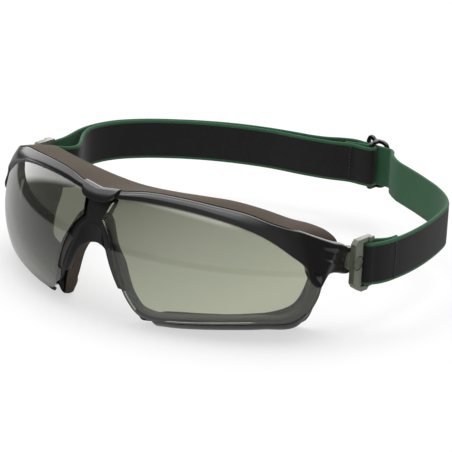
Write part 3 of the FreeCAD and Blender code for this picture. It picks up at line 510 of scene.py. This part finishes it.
def frame_stations(inset, front_depth, back_depth):
    """Stations between the window's edge and the lens's outline, at two depths.

    The outline is first moved in by the given share of its distance to the window's edge.
    """
    outer = rim_outer + (rim_inner - rim_outer) * inset
    return np.stack([under_wrap(outer[:, 0], outer[:, 1], front_depth),
                     under_wrap(outer[:, 0], outer[:, 1], back_depth),
                     under_wrap(rim_inner[:, 0], rim_inner[:, 1], back_depth),
                     under_wrap(rim_inner[:, 0], rim_inner[:, 1], front_depth)], axis=1)


SEAL_BACK = LENS_THICKNESS + SEAL_DEPTH
# Moulded nylon, black with a soft satin sheen, and a soft foam that stays dull.
rim_black, tree, shader = new_material("satin black nylon", "#151414", 0.38, IOR=1.53)
add_grain(tree, shader, 0.5, 0.02, 0.5)
seal_black, tree, shader = new_material("soft black seal", "#0e0e0e", 0.75, IOR=1.5)
add_grain(tree, shader, 0.4, 0.03, 0.6)
rim = frame_stations(RIM_INSET, SEAL_BACK, SEAL_BACK + RIM_DEPTH)
rim = rounded(rim, 0.4, straight=5, corner=3)
seal = frame_stations(SEAL_INSET, LENS_THICKNESS + SEAL_PLAY, SEAL_BACK - SEAL_PLAY)
seal = rounded(seal, 0.15, straight=3, corner=2)
for side, sign in (("left", 1), ("right", -1)):
    make_piece("lens_rim_" + side, rim * (sign, 1, 1), "goggle_front", rim_black, "rim_plastic",
               ["lens_rim"])
    make_piece("lens_seal_" + side, seal * (sign, 1, 1), "goggle_front", seal_black, "seal_foam",
               ["lens_seal"])


# ------------------------------------------------------------------ nose bridge
# Satin black moulding that carries the lens over the nose: a short column and two legs.
# UNDER_SHADE_COLOUR is painted shade for the arch underneath, not a colour of the nylon.
BRIDGE_RECESS, BRIDGE_DEPTH, BRIDGE_COLOUR, UNDER_SHADE_COLOUR = 1.5, 3.6, "#232122", "#090808"
BRIDGE_OUTER = [(0, 19.5), (5.9, 19.5), (6.6, 18.8), (5.5, 15.2), (4.9, 12.2), (6.4, 10.9),
                (8.9, 9.0), (10.6, 5.8), (12.2, 2.8), (13.9, -1.8), (15.4, -6.0), (16.6, -9.8),
                (17.9, -13.8)]
ARCH_FRONT = [(0, 10.0), (0.8, 9.9), (1.6, 9.75), (2.4, 9.6), (3.6, 8.9), (5.0, 8.0), (6.3, 5.2),
              (7.4, 2.3), (8.6, -0.7), (9.6, -3.4), (11.3, -7.6), (13.3, -12.6), (13.8, -13.8)]
ARCH_BACK = [(0, 1.2), (0.6, 1.2), (1.2, 1.15), (1.9, 1.0), (2.9, 0.7), (3.8, 0.4), (5.3, -0.6),
             (6.1, -1.2), (6.9, -1.8), (8.7, -4.5), (11.0, -9.2), (13.3, -13.2), (13.6, -13.8)]


def soften(rows, times=2):
    """Corner cutting: each run gives way to its quarter points, and the ends stay."""
    for _ in range(times):
        near, far = rows[:-1] * 0.75 + rows[1:] * 0.25, rows[:-1] * 0.25 + rows[1:] * 0.75
        between = np.stack([near, far], axis=1).reshape((-1,) + rows.shape[1:])
        rows = np.concatenate([rows[:1], between, rows[-1:]])
    return rows


outer, arch_front, arch_back = (soften(np.array(line, float))
                                for line in (BRIDGE_OUTER, ARCH_FRONT, ARCH_BACK))
bridge = np.stack([wrap(outer[:, 0], outer[:, 1], BRIDGE_RECESS),
                   wrap(outer[:, 0], outer[:, 1], BRIDGE_RECESS + BRIDGE_DEPTH),
                   wrap(arch_back[:, 0], arch_back[:, 1], BRIDGE_RECESS + BRIDGE_DEPTH),
                   wrap(arch_front[:, 0], arch_front[:, 1], BRIDGE_RECESS)], axis=1)
bridge = np.concatenate([mirrored(bridge[1:]), bridge])
bridge = rounded(bridge, 0.7, crown=0.2, straight=9)
# Nylon from an etched mould: charcoal and satin.  Painted shade darkens the arch underneath, which is
# the samples of each section between UNDER_STARTS and UNDER_ENDS.
UNDER_STARTS, UNDER_ENDS = (24, 26), (38, 36)
bridge_black, tree, shader = new_material("satin charcoal nylon", BRIDGE_COLOUR, 0.34, IOR=1.53,
                                          Specular_IOR_Level=0.3)
add_grain(tree, shader, 0.5, 0.02, 0.3)
under = add_node(tree, "Attribute", attribute_name="under")
colour_and_shade = add_node(tree, "Mix", [("Factor", under.outputs["Fac"])], data_type="RGBA")
colour_and_shade.inputs[6].default_value = linear(BRIDGE_COLOUR)
colour_and_shade.inputs[7].default_value = linear(UNDER_SHADE_COLOUR)
tree.links.new(colour_and_shade.outputs[2], shader.inputs["Base Color"])
sample = np.arange(bridge.shape[1])
under_shade_share = ease(sample, *UNDER_STARTS) * ease(sample, *UNDER_ENDS)
make_piece("nose_bridge_piece", bridge, "goggle_front", bridge_black, "rim_plastic",
           ["nose_bridge"], under=np.broadcast_to(under_shade_share, bridge.shape[:2]))


# ------------------------------------------------------------------ nose pads
# Two soft strips moulded onto the legs of the nose bridge.
PAD_INNER = [(15.3, -12.8), (11.7, -4.4), (8.9, 1.9)]
PAD_OUTER = [(17.4, -12.0), (14.6, -3.6), (12.0, 3.4)]
PAD_HEIGHT, PAD_SINK, PAD_END = 1.0, 0.2, 0.12
pad_in, pad_out = smooth(PAD_INNER, 30), smooth(PAD_OUTER, 30)
swell = np.sin(np.linspace(PAD_END, math.pi - PAD_END, 30)) ** 0.4
proud = BRIDGE_RECESS - PAD_HEIGHT * swell
sunk = BRIDGE_RECESS + PAD_SINK
pad = np.stack([wrap(line[:, 0], line[:, 1], depth) for line, depth in (
    (pad_out, proud), (pad_out, sunk), (pad_in, sunk), (pad_in, proud))], axis=1)
pad = rounded(pad, 0.6, straight=5)
# Soft elastomer from an etched mould: dark, with a broad and weak sheen.
pad_rubber, tree, shader = new_material("dark soft elastomer", "#393233", 0.42, IOR=1.5)
add_grain(tree, shader, 0.4, 0.02, 0.4)
for side, sign in (("left", 1), ("right", -1)):
    make_piece("nose_pad_strip_" + side, pad * (sign, 1, 1), "goggle_front", pad_rubber, "pad_tpe",
               ["nose_pad_" + side])


# ------------------------------------------------------------------ bridge tab
# Small glossy plate on the middle of the brow bar that closes the lens's groove over the nose.
TAB_TOP = [(0, 24.1), (3.0, 24.4), (5.5, 24.7), (7.6, 24.9), (9.0, 25.0)]
TAB_LOW = [(0, 19.6), (4.0, 19.8), (7.0, 20.8), (8.0, 21.9), (8.6, 23.2)]
TAB_PROUD, TAB_BACK = 2.8, 0.3
tab_top, tab_low = smooth(TAB_TOP, 24), smooth(TAB_LOW, 24)
tab = np.stack([wrap(line[:, 0], line[:, 1], -height)
                for line, height in ((tab_low, TAB_PROUD), (tab_top, TAB_PROUD), (tab_top, TAB_BACK),
                                     (tab_low, TAB_BACK))], axis=1)
tab = rounded(np.concatenate([mirrored(tab[1:]), tab]), 0.6, crown=0.15, straight=8)
make_piece("bridge_plate", tab, "goggle_front", bar_gloss, "brow_plastic", ["bridge_tab"])


# ------------------------------------------------------------------ vent rails
# Black moulded lips that flare out under the lens's lower edge and keep the vents open.
RAIL_WALL, RAIL_FLARE, RAIL_DEPTH, RAIL_START, STEP = 1.4, 5.0, 2.3, 0.3, 0.1
rail_edge = np.array(LENS_END[1:10])
reach = np.array([1.0, 1.3, 2.3] + [RAIL_FLARE] * 6)
along = np.gradient(rail_edge, axis=0)
out = np.stack([-along[:, 1], along[:, 0]], axis=1)
out = unit(out * np.sign((out * (rail_edge - (50, 0))).sum(axis=1, keepdims=True)))
edge = wrap(rail_edge[:, 0], rail_edge[:, 1])
slope_x = (wrap(rail_edge[:, 0] + STEP, rail_edge[:, 1]) - edge)[:, 1] / STEP
slope_z = (wrap(rail_edge[:, 0], rail_edge[:, 1] + STEP) - edge)[:, 1] / STEP
behind = unit(np.stack([-slope_x, np.ones(len(edge)), -slope_z], axis=1))
aside = unit(np.stack([out[:, 0], out[:, 0] * slope_x + out[:, 1] * slope_z, out[:, 1]], axis=1))
corners = [(RAIL_START, 0.0), (reach, RAIL_DEPTH), (reach - RAIL_WALL / 2, RAIL_DEPTH + RAIL_WALL),
           (RAIL_START, RAIL_WALL)]
rail = np.stack([edge + aside * np.broadcast_to(g, len(edge))[:, None] + behind * d
                 for g, d in corners], axis=1)
rail = rounded(smooth(rail, 120), 0.5, crown=0.15, straight=8)
# Nylon from a smoother mould than the rim's: black, with a narrow highlight.
rail_black, tree, shader = new_material("satin black rail", "#100f0f", 0.24, IOR=1.53)
add_grain(tree, shader, 0.6, 0.015, 0.4)
for side, sign in (("left", 1), ("right", -1)):
    make_piece("vent_lip_" + side, rail * (sign, 1, 1), "goggle_front", rail_black, "rail_plastic",
               ["vent_rail_" + side])


# ------------------------------------------------------------------ face skirt
# Soft ring of thermoplastic elastomer that seals against the face, moulded in one wall about 2 mm
# thick with a rounded rear lip; its lower edges are what the goggles stand on.
SKIRT_WALL, SKIRT_FRONT, SKIRT_LIFT, REST_Z = 2.0, 5.25, 0.1, -29.5
# INSIDE_SHADE_COLOUR is painted shade for the skirt's inside, not a colour of the elastomer.
SKIRT_COLOUR, INSIDE_SHADE_COLOUR = "#51483f", "#0a0a09"
TOP_REAR = [(0, 31.5, 20.4), (9, 31.3, 20.8), (20.6, 31.1, 21.9), (35, 32.0, 23.4),
            (46, 35.2, 23.6), (56, 42.2, 20.9), (63.5, 50.2, 17.0)]
SIDE_FRONT = [(72.3, 38.4, 17.6), (74.6, 43.5, 15.0), (76.6, 47.0, 9.0), (77.3, 47.0, 1.0)]
SIDE_REAR = [(68.8, 56.2, 14.8), (72.8, 61.2, 11.8), (75.2, 65.4, 7.0), (74.2, 66.8, 0.0),
             (72.2, 64.6, -8.0), (71.3, 60.0, -17.0), (69.0, 56.4, -26.4), (58.5, 52.6, -30.2),
             (50, 47.0, -30.2), (39, 38.5, -30.2), (29.5, 29.0, -30.2), (21.4, 17.6, -28.6),
             (16.6, 13.8, -22.2), (13.6, 12.4, -16.2), (12.0, 11.8, -11.4), (10.2, 11.6, -6.2),
             (6.4, 11.3, -1.0), (0, 11.0, -0.4)]
LOW_FRONT = [(77.0, -8.0), (74.0, -15.0), (68.0, -18.7), (59, -20.3), (50, -21.5), (39, -22.8),
             (29, -23.8), (17.8, -18.8), (15.4, -14.6), (12.8, -10.8), (9.8, -6.0), (6.2, -0.6),
             (0, 1.6)]
WALL_ANGLE = np.radians([235, 218, 195, 180, 172, 150, 112, 90, 90, 90, 84, 45, 16, 18, 30, 40,
                         62, 90])

low_front = np.array(LOW_FRONT)
low_front = wrap(low_front[:, 0], low_front[:, 1], SKIRT_FRONT)
low_front = np.concatenate([low_front[:7], [(20.2, 10.6, -27.2)], low_front[7:]])
round_front = np.concatenate([SIDE_FRONT, low_front])
round_rear = np.array(SIDE_REAR)
wall = np.stack([np.cos(WALL_ANGLE), 0 * WALL_ANGLE, np.sin(WALL_ANGLE)], axis=1) * SKIRT_WALL
side_stations = np.stack([round_front, round_rear, round_rear + wall, round_front + wall], axis=1)
top_rear = np.array(TOP_REAR)
lift = np.array([0, 0, SKIRT_LIFT])
top_stations = np.stack([bar_stations[:7, 1] + lift, top_rear, top_rear - (0, 0, SKIRT_WALL),
                         bar_stations[:7, 2] + lift], axis=1)
half_skirt = np.concatenate([top_stations, side_stations])
skirt = np.concatenate([half_skirt, mirrored(half_skirt[1:-1])])
skirt = rounded(smooth(skirt, 620, closed=True), 0.95, crown=0.35, straight=14, corner=5)
skirt[..., 2] = np.maximum(skirt[..., 2], REST_Z)

# Elastomer from an eroded mould: warm grey-brown and satin.  Painted shade makes the inside nearly
# black, which is the samples of each section between INSIDE_SHADE_STARTS and INSIDE_SHADE_ENDS.
INSIDE_SHADE_STARTS, INSIDE_SHADE_ENDS = (36, 39), (74, 71)
skirt_soft, tree, shader = new_material("warm grey elastomer", SKIRT_COLOUR, 0.62, IOR=1.5,
                                        Specular_IOR_Level=0.03)
add_grain(tree, shader, 0.45, 0.02, 0.25)
lining = add_node(tree, "Attribute", attribute_name="lining")
colour_and_shade = add_node(tree, "Mix", [("Factor", lining.outputs["Fac"])], data_type="RGBA")
colour_and_shade.inputs[6].default_value = linear(SKIRT_COLOUR)
colour_and_shade.inputs[7].default_value = linear(INSIDE_SHADE_COLOUR)
tree.links.new(colour_and_shade.outputs[2], shader.inputs["Base Color"])
sample = np.arange(skirt.shape[1])
lining_share = ease(sample, *INSIDE_SHADE_STARTS) * ease(sample, *INSIDE_SHADE_ENDS)
make_piece("skirt", skirt, "goggle_front", skirt_soft, "skirt_tpe", ["face_skirt"], loop=True,
           lining=np.broadcast_to(lining_share, skirt.shape[:2]))


# ------------------------------------------------------------------ strap clips
# Smoke green translucent mouldings that snap onto the studs and hold the webbing on a round bar.
def softened(node, name, width_mm, body, material):
    """Copy of a CAD node with its flat faces joined up and its edges rounded by a bevel."""
    source = bmesh.new()
    source.from_mesh(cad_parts[node].data)
    bmesh.ops.remove_doubles(source, verts=source.verts, dist=2e-6)
    bmesh.ops.dissolve_limit(source, angle_limit=math.radians(1.5), verts=source.verts,
                             edges=source.edges)
    mesh = bpy.data.meshes.new(name)
    source.to_mesh(mesh)
    source.free()
    mesh.shade_smooth()
    mesh.materials.clear()
    mesh.materials.append(material)
    piece = bpy.data.objects.new(name, mesh)
    bpy.context.scene.collection.objects.link(piece)
    bevel = piece.modifiers.new("edges", "BEVEL")
    bevel.width, bevel.segments = width_mm / 1000, 3
    bevel.limit_method, bevel.angle_limit = "ANGLE", math.radians(28)
    bevel.harden_normals = True
    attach(piece, body)
    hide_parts(node)


# Tinted polycarbonate with a moulded grain: cloudy smoke green that lets some light through.
clip_tint, tree, shader = new_material("smoke green translucent polycarbonate", "#6d7261", 0.2,
                                       IOR=1.58, Transmission_Weight=0.35)
add_grain(tree, shader, 1.6, 0.05, 0.5)
for side, body in (("left", "strap"), ("right", "clip_right")):
    softened("strap_clip_" + side, "swivel_clip_" + side, 0.35, body, clip_tint)


# ------------------------------------------------------------------ pivot studs
# Snap studs of the same smoke green that hold the clips on the arms.
# The same tinted polycarbonate in a thicker piece: darker, with a fine grain.
stud_tint, tree, shader = new_material("smoke green stud", "#5a604e", 0.24, IOR=1.58,
                                       Transmission_Weight=0.35)
add_grain(tree, shader, 0.8, 0.02, 0.3)
for side in ("left", "right"):
    softened("pivot_stud_" + side, "snap_stud_" + side, 0.25, "goggle_front", stud_tint)


# ------------------------------------------------------------------ head strap
# Elastic webbing 18 mm wide and 1.4 mm thick: black outside with green edges, green inside.  It is
# sewn round the left clip's bar, runs round the head, turns at the right clip and comes back inside
# to the slider's middle bar, where it is sewn again.
STRAP_WIDTH, STRAP_THICKNESS, STRAP_MIDDLE = 18.0, 1.4, -1.0
EDGE_START, EDGE_FULL = 7.6, 7.85
BLEND_START, BLEND_END = (-45.0, 157.0, -1.0), (-4.0, 168.0, -1.0)
TAIL = [(89.1, 86.5), (88.8, 82.4), (87.2, 78.8), (85.2, 76.2)]
NEAR_TURN = [(83.85, 72.2), (84.14, 71.13), (84.92, 70.34), (86.0, 70.05), (87.08, 70.34),
             (87.86, 71.13), (88.15, 72.2)]
NEAR_RUN = [(89.4, 75.2), (90.4, 79.4), (90.7, 85.0), (90.7, 91.0), (90.1, 98.5), (88.9, 107.0),
            (87.0, 116.0), (84.6, 125.0), (81.0, 134.4), (76.3, 140.6), (70.3, 146.2),
            (63.6, 150.9), (56.2, 155.0), (48.5, 159.0), (40.8, 162.6), (33.4, 166.2),
            (26.6, 171.6)]
STRAIGHT = [(21.0, 178.0), (14.5, 178.0), (8.0, 178.0), (1.5, 178.0)]
FAR_RUN = [(-4.2, 175.2), (-9.5, 171.2), (-16.0, 168.4), (-24.0, 166.3), (-33.0, 163.6),
           (-47.0, 157.9), (-60.0, 150.2), (-71.7, 141.0), (-82.2, 130.4), (-89.1, 119.2),
           (-91.4, 110.0), (-91.7, 103.0), (-90.8, 96.5), (-89.1, 90.0), (-87.8, 84.0),
           (-87.6, 78.8), (-87.9, 75.0)]
FAR_TURN = [(-88.15, 72.2), (-87.93, 71.26), (-87.32, 70.51), (-86.45, 70.1), (-85.48, 70.11),
            (-84.62, 70.55)]
RETURN = [(-84.62, 70.55), (-80.6, 72.8), (-77.2, 75.6), (-76.3, 79.0), (-78.0, 83.2),
          (-81.4, 88.0), (-84.9, 93.0), (-87.9, 98.2), (-89.7, 103.4), (-89.77, 109.75),
          (-87.6, 118.5), (-80.92, 129.35), (-70.6, 139.76), (-33.0, 160.5), (-14.0, 164.8),
          (-4.0, 168.0), (4.0, 171.6), (12.6, 172.5), (13.53, 172.75), (14.2, 173.42),
          (14.45, 174.35), (14.2, 175.28), (13.52, 175.95), (12.6, 176.2), (8.6, 175.65),
          (4.6, 174.25), (0.2, 172.45)]


def ribbon(route, count):
    """Webbing on edge along a route of x and y.

    The section is a flat oblong with round edges and a shallow groove along each, set square to the
    route; fields give the place across in mm from the middle, the face as +1 or -1, and the length.
    """
    path = smooth(route, count)
    ahead = unit(np.gradient(path, axis=0))
    normal = np.stack([-ahead[:, 1], ahead[:, 0]], axis=1)
    half_width, half = STRAP_WIDTH / 2, STRAP_THICKNESS / 2
    flat = np.linspace(-1, 1, 23) * (half_width - half)
    bead = 1 - 0.10 * np.exp(-((half_width - np.abs(flat) - 1.7) / 0.35) ** 2)
    end = np.linspace(0, math.pi, 7)[1:-1]
    across = np.concatenate([flat, half_width - half + half * np.sin(end), flat[::-1],
                             half - half_width - half * np.sin(end)])
    thick = np.concatenate([half * bead, half * np.cos(end), -half * bead, -half * np.cos(end)])
    rings = np.empty((count, len(across), 3))
    rings[..., :2] = path[:, None] + normal[:, None] * thick[None, :, None]
    rings[..., 2] = STRAP_MIDDLE + across
    run = np.concatenate([[0], np.cumsum(np.linalg.norm(np.diff(path, axis=0), axis=1))])
    return (rings, np.broadcast_to(across, rings.shape[:2]),
            np.broadcast_to(np.clip(thick / half * 3, -1, 1), rings.shape[:2]),
            np.broadcast_to(run[:, None], rings.shape[:2]))


def webbing_material(name, face, edge, inside, black_side):
    """Woven elastic: colour by face and by distance from the edge, with ribs across the strap."""
    material, tree, shader = new_material(name, face, 0.85, IOR=1.45, Sheen_Weight=0.08,
                                          Sheen_Roughness=0.5)
    across = add_node(tree, "Attribute", attribute_name="across")
    facing = add_node(tree, "Attribute", attribute_name="face")
    run = add_node(tree, "Attribute", attribute_name="run")
    distance = add_node(tree, "Math", [(0, across.outputs["Fac"])], operation="ABSOLUTE")
    border = add_node(tree, "MapRange", [("Value", distance.outputs[0])], From_Min=EDGE_START,
                      From_Max=EDGE_FULL)
    outside = add_node(tree, "MapRange", [("Value", facing.outputs["Fac"])],
                       From_Min=-0.3 * black_side, From_Max=0.3 * black_side)
    # wave bands lie 0.314 / Scale apart: ribs 0.75 mm and threads 0.57 mm, coarse so that they show
    weave = add_node(tree, "CombineXYZ", [("X", across.outputs["Fac"]), ("Y", run.outputs["Fac"])])
    ribs = add_node(tree, "TexWave", [("Vector", weave.outputs[0])], bands_direction="Y", Scale=0.42,
                    Distortion=0.6, Detail=1.0)
    threads = add_node(tree, "TexWave", [("Vector", weave.outputs[0])], bands_direction="X", Scale=0.55,
                       Distortion=0.4, Detail=1.0)
    woven = add_node(tree, "Math", [(0, ribs.outputs["Fac"]), (1, threads.outputs["Fac"])],
                     operation="MULTIPLY")
    mottle = add_node(tree, "TexNoise", [("Vector", weave.outputs[0])], Scale=1.3, Detail=3.0)
    black_or_edge = add_node(tree, "Mix", [("Factor", border.outputs[0])], data_type="RGBA")
    black_or_edge.inputs[6].default_value = linear(face)
    black_or_edge.inputs[7].default_value = linear(edge)
    side_colour = add_node(tree, "Mix", [("Factor", outside.outputs[0])], data_type="RGBA")
    side_colour.inputs[6].default_value = linear(inside)
    tree.links.new(black_or_edge.outputs[2], side_colour.inputs[7])
    shade = add_node(tree, "MapRange", [("Value", woven.outputs[0])], To_Min=0.84, To_Max=1.12)
    patch = add_node(tree, "MapRange", [("Value", mottle.outputs[0])], To_Min=0.8, To_Max=1.2)
    both = add_node(tree, "Math", [(0, shade.outputs[0]), (1, patch.outputs[0])],
                    operation="MULTIPLY")
    final = add_node(tree, "VectorMath", [(0, side_colour.outputs[2])], operation="SCALE")
    tree.links.new(both.outputs[0], final.inputs["Scale"])
    tree.links.new(final.outputs[0], shader.inputs["Base Color"])
    bump = add_node(tree, "Bump", [("Height", woven.outputs[0])], Strength=0.35, Distance=0.00012)
    tree.links.new(bump.outputs[0], shader.inputs["Normal"])
    return material


strap_outer = webbing_material("black and green elastic webbing", "#171415", "#2b5a3c", "#2c5c3d",
                               -1)
head, across, face, run = ribbon(TAIL + NEAR_TURN + NEAR_RUN + STRAIGHT + FAR_RUN + FAR_TURN, 700)
make_piece("head_webbing", head, "strap", strap_outer, "strap_web", ["head_strap"], across=across,
           face=face, run=run)
back_run, across, face, run = ribbon(RETURN, 420)
# the loop sewn round the slider's middle bar: this piece is left unattached and the dict is not read
across_joint = {"from": "strap", "to": "slider", "start": tuple(place(BLEND_START).tolist()),
                "end": tuple(place(BLEND_END).tolist())}
make_piece("return_webbing", back_run, across_joint, strap_outer, "strap_web", ["strap_return"],
           across=across, face=face, run=run)


# ------------------------------------------------------------------ strap slider
# Glossy black moulded adjuster: a wavy ring rod and a round middle bar, round which the inner run
# of the webbing is sewn.
SLIDER_X, RING_Y, MIDDLE_Y, SLOT_HALF = 12.6, 180.2, 174.35, 9.4
RING_LINE = [(-5.4, -3.0), (-5.4, -0.6), (-5.1, 0.8), (-4.2, 1.9), (-3.2, 1.6), (-2.2, 0.8),
             (-1.2, 0.65), (0.6, 0.75), (2.5, 0.6), (4.0, -0.1), (4.8, -1.6), (5.1, -3.4)]
MIDDLE_LINE = [(RING_Y, 0.75), (177.6, 0.75), (175.8, 0.7), (174.8, 0.3), (MIDDLE_Y, -0.9),
               (MIDDLE_Y, -4.0)]
ROD_HALF_WIDTH, ROD_HALF_DEPTH = 0.85, 0.9
# Acetal from a polished mould: black, with sharp highlights.
slider_black, tree, shader = new_material("gloss black acetal", "#0a0a0a", 0.12, IOR=1.48)
add_grain(tree, shader, 0.8, 0.01, 0.3)


def both_edges(upper):
    """Line above the strap, run on through its mirror image below the strap's middle."""
    lower = (upper * (1, 1, -1) + (0, 0, 2 * STRAP_MIDDLE))[::-1]
    return np.concatenate([upper, lower])


line = np.array(RING_LINE)
upper = np.stack([SLIDER_X + line[:, 0], np.full(len(line), RING_Y),
                  STRAP_MIDDLE + SLOT_HALF + line[:, 1]], axis=1)
path = smooth(both_edges(upper), 300, closed=True)
ahead = unit(np.roll(path, -1, axis=0) - np.roll(path, 1, axis=0))
outward = np.stack([-ahead[:, 2], 0 * ahead[:, 0], ahead[:, 0]], axis=1) * ROD_HALF_WIDTH
deep = np.array([0, ROD_HALF_DEPTH, 0])
ring = np.stack([path + outward - deep, path + outward + deep, path - outward + deep,
                 path - outward - deep], axis=1)
make_piece("slider_ring", rounded(ring, 0.55, straight=4), "slider", slider_black, "slider_plastic",
           ["strap_slider"], loop=True)
line = np.array(MIDDLE_LINE)
upper = np.stack([np.full(len(line), SLIDER_X), line[:, 0], STRAP_MIDDLE + SLOT_HALF + line[:, 1]],
                 axis=1)
path = smooth(both_edges(upper), 120)
ahead = unit(np.gradient(path, axis=0))
turned = np.stack([0 * ahead[:, 0], -ahead[:, 2], ahead[:, 1]], axis=1)
angle = np.linspace(0, 2 * math.pi, 16, endpoint=False)
bar = path[:, None] + (np.cos(angle)[None, :, None] * turned[:, None]
                       + np.sin(angle)[None, :, None] * (1, 0, 0))
make_piece("slider_middle_bar", bar, "slider", slider_black, "slider_plastic", ["strap_slider"])


# ------------------------------------------------------------------ stitching
# Two rows of black thread that close the strap's loops at the left clip and at the slider.
STITCH_PITCH, STITCH_LENGTH, THREAD_RADIUS = 1.5, 1.1, 0.28
STITCHES, FIRST_STITCH, STITCH_RINGS, STITCH_SIDES = 11, -8.3, 9, 8
# Spun polyester: black and dull, with a faint sheen from its fibres.
thread_black, tree, shader = new_material("black sewing thread", "#181617", 0.8, IOR=1.45,
                                          Sheen_Weight=0.3)
add_grain(tree, shader, 0.2, 0.03, 0.6)


def stitch_rings(x, y, low):
    """One stitch: a round thread along z that dips to a point at both ends."""
    t = np.linspace(-1, 1, STITCH_RINGS)
    radius = THREAD_RADIUS * np.sqrt(np.maximum(1 - t ** 4, 0.02))
    angle = np.linspace(0, 2 * math.pi, STITCH_SIDES, endpoint=False)
    rings = np.empty((STITCH_RINGS, STITCH_SIDES, 3))
    rings[..., 0] = x + radius[:, None] * np.cos(angle)
    rings[..., 1] = y + radius[:, None] * np.sin(angle)
    rings[..., 2] = low + (t[:, None] + 1) / 2 * STITCH_LENGTH
    return rings


def seam(name, x, y, body, node):
    """Row of stitches across the strap as one mesh."""
    lows = STRAP_MIDDLE + FIRST_STITCH + STITCH_PITCH * np.arange(STITCHES)
    rows = np.concatenate([stitch_rings(x, y, low).reshape(-1, 3) for low in lows])
    grid = np.arange(STITCH_RINGS * STITCH_SIDES).reshape(STITCH_RINGS, STITCH_SIDES)
    turn = np.roll(grid, -1, axis=1)
    quads = np.stack([grid[:-1], turn[:-1], turn[1:], grid[1:]], axis=-1).reshape(-1, 4)
    faces = []
    for first in grid.size * np.arange(STITCHES):
        faces += (quads + first).tolist()
        faces += [(grid[0][::-1] + first).tolist(), (grid[-1] + first).tolist()]
    mesh = bpy.data.meshes.new(name)
    mesh.from_pydata(place(rows).tolist(), [], faces)
    mesh.shade_smooth()
    mesh.materials.append(thread_black)
    piece = bpy.data.objects.new(name, mesh)
    bpy.context.scene.collection.objects.link(piece)
    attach(piece, body)
    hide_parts(node)


seam("clip_seam", 91.5, 83.2, "strap", "strap_stitch_clip")
seam("loop_seam", 4.4, 170.55, "slider", "strap_stitch_loop")
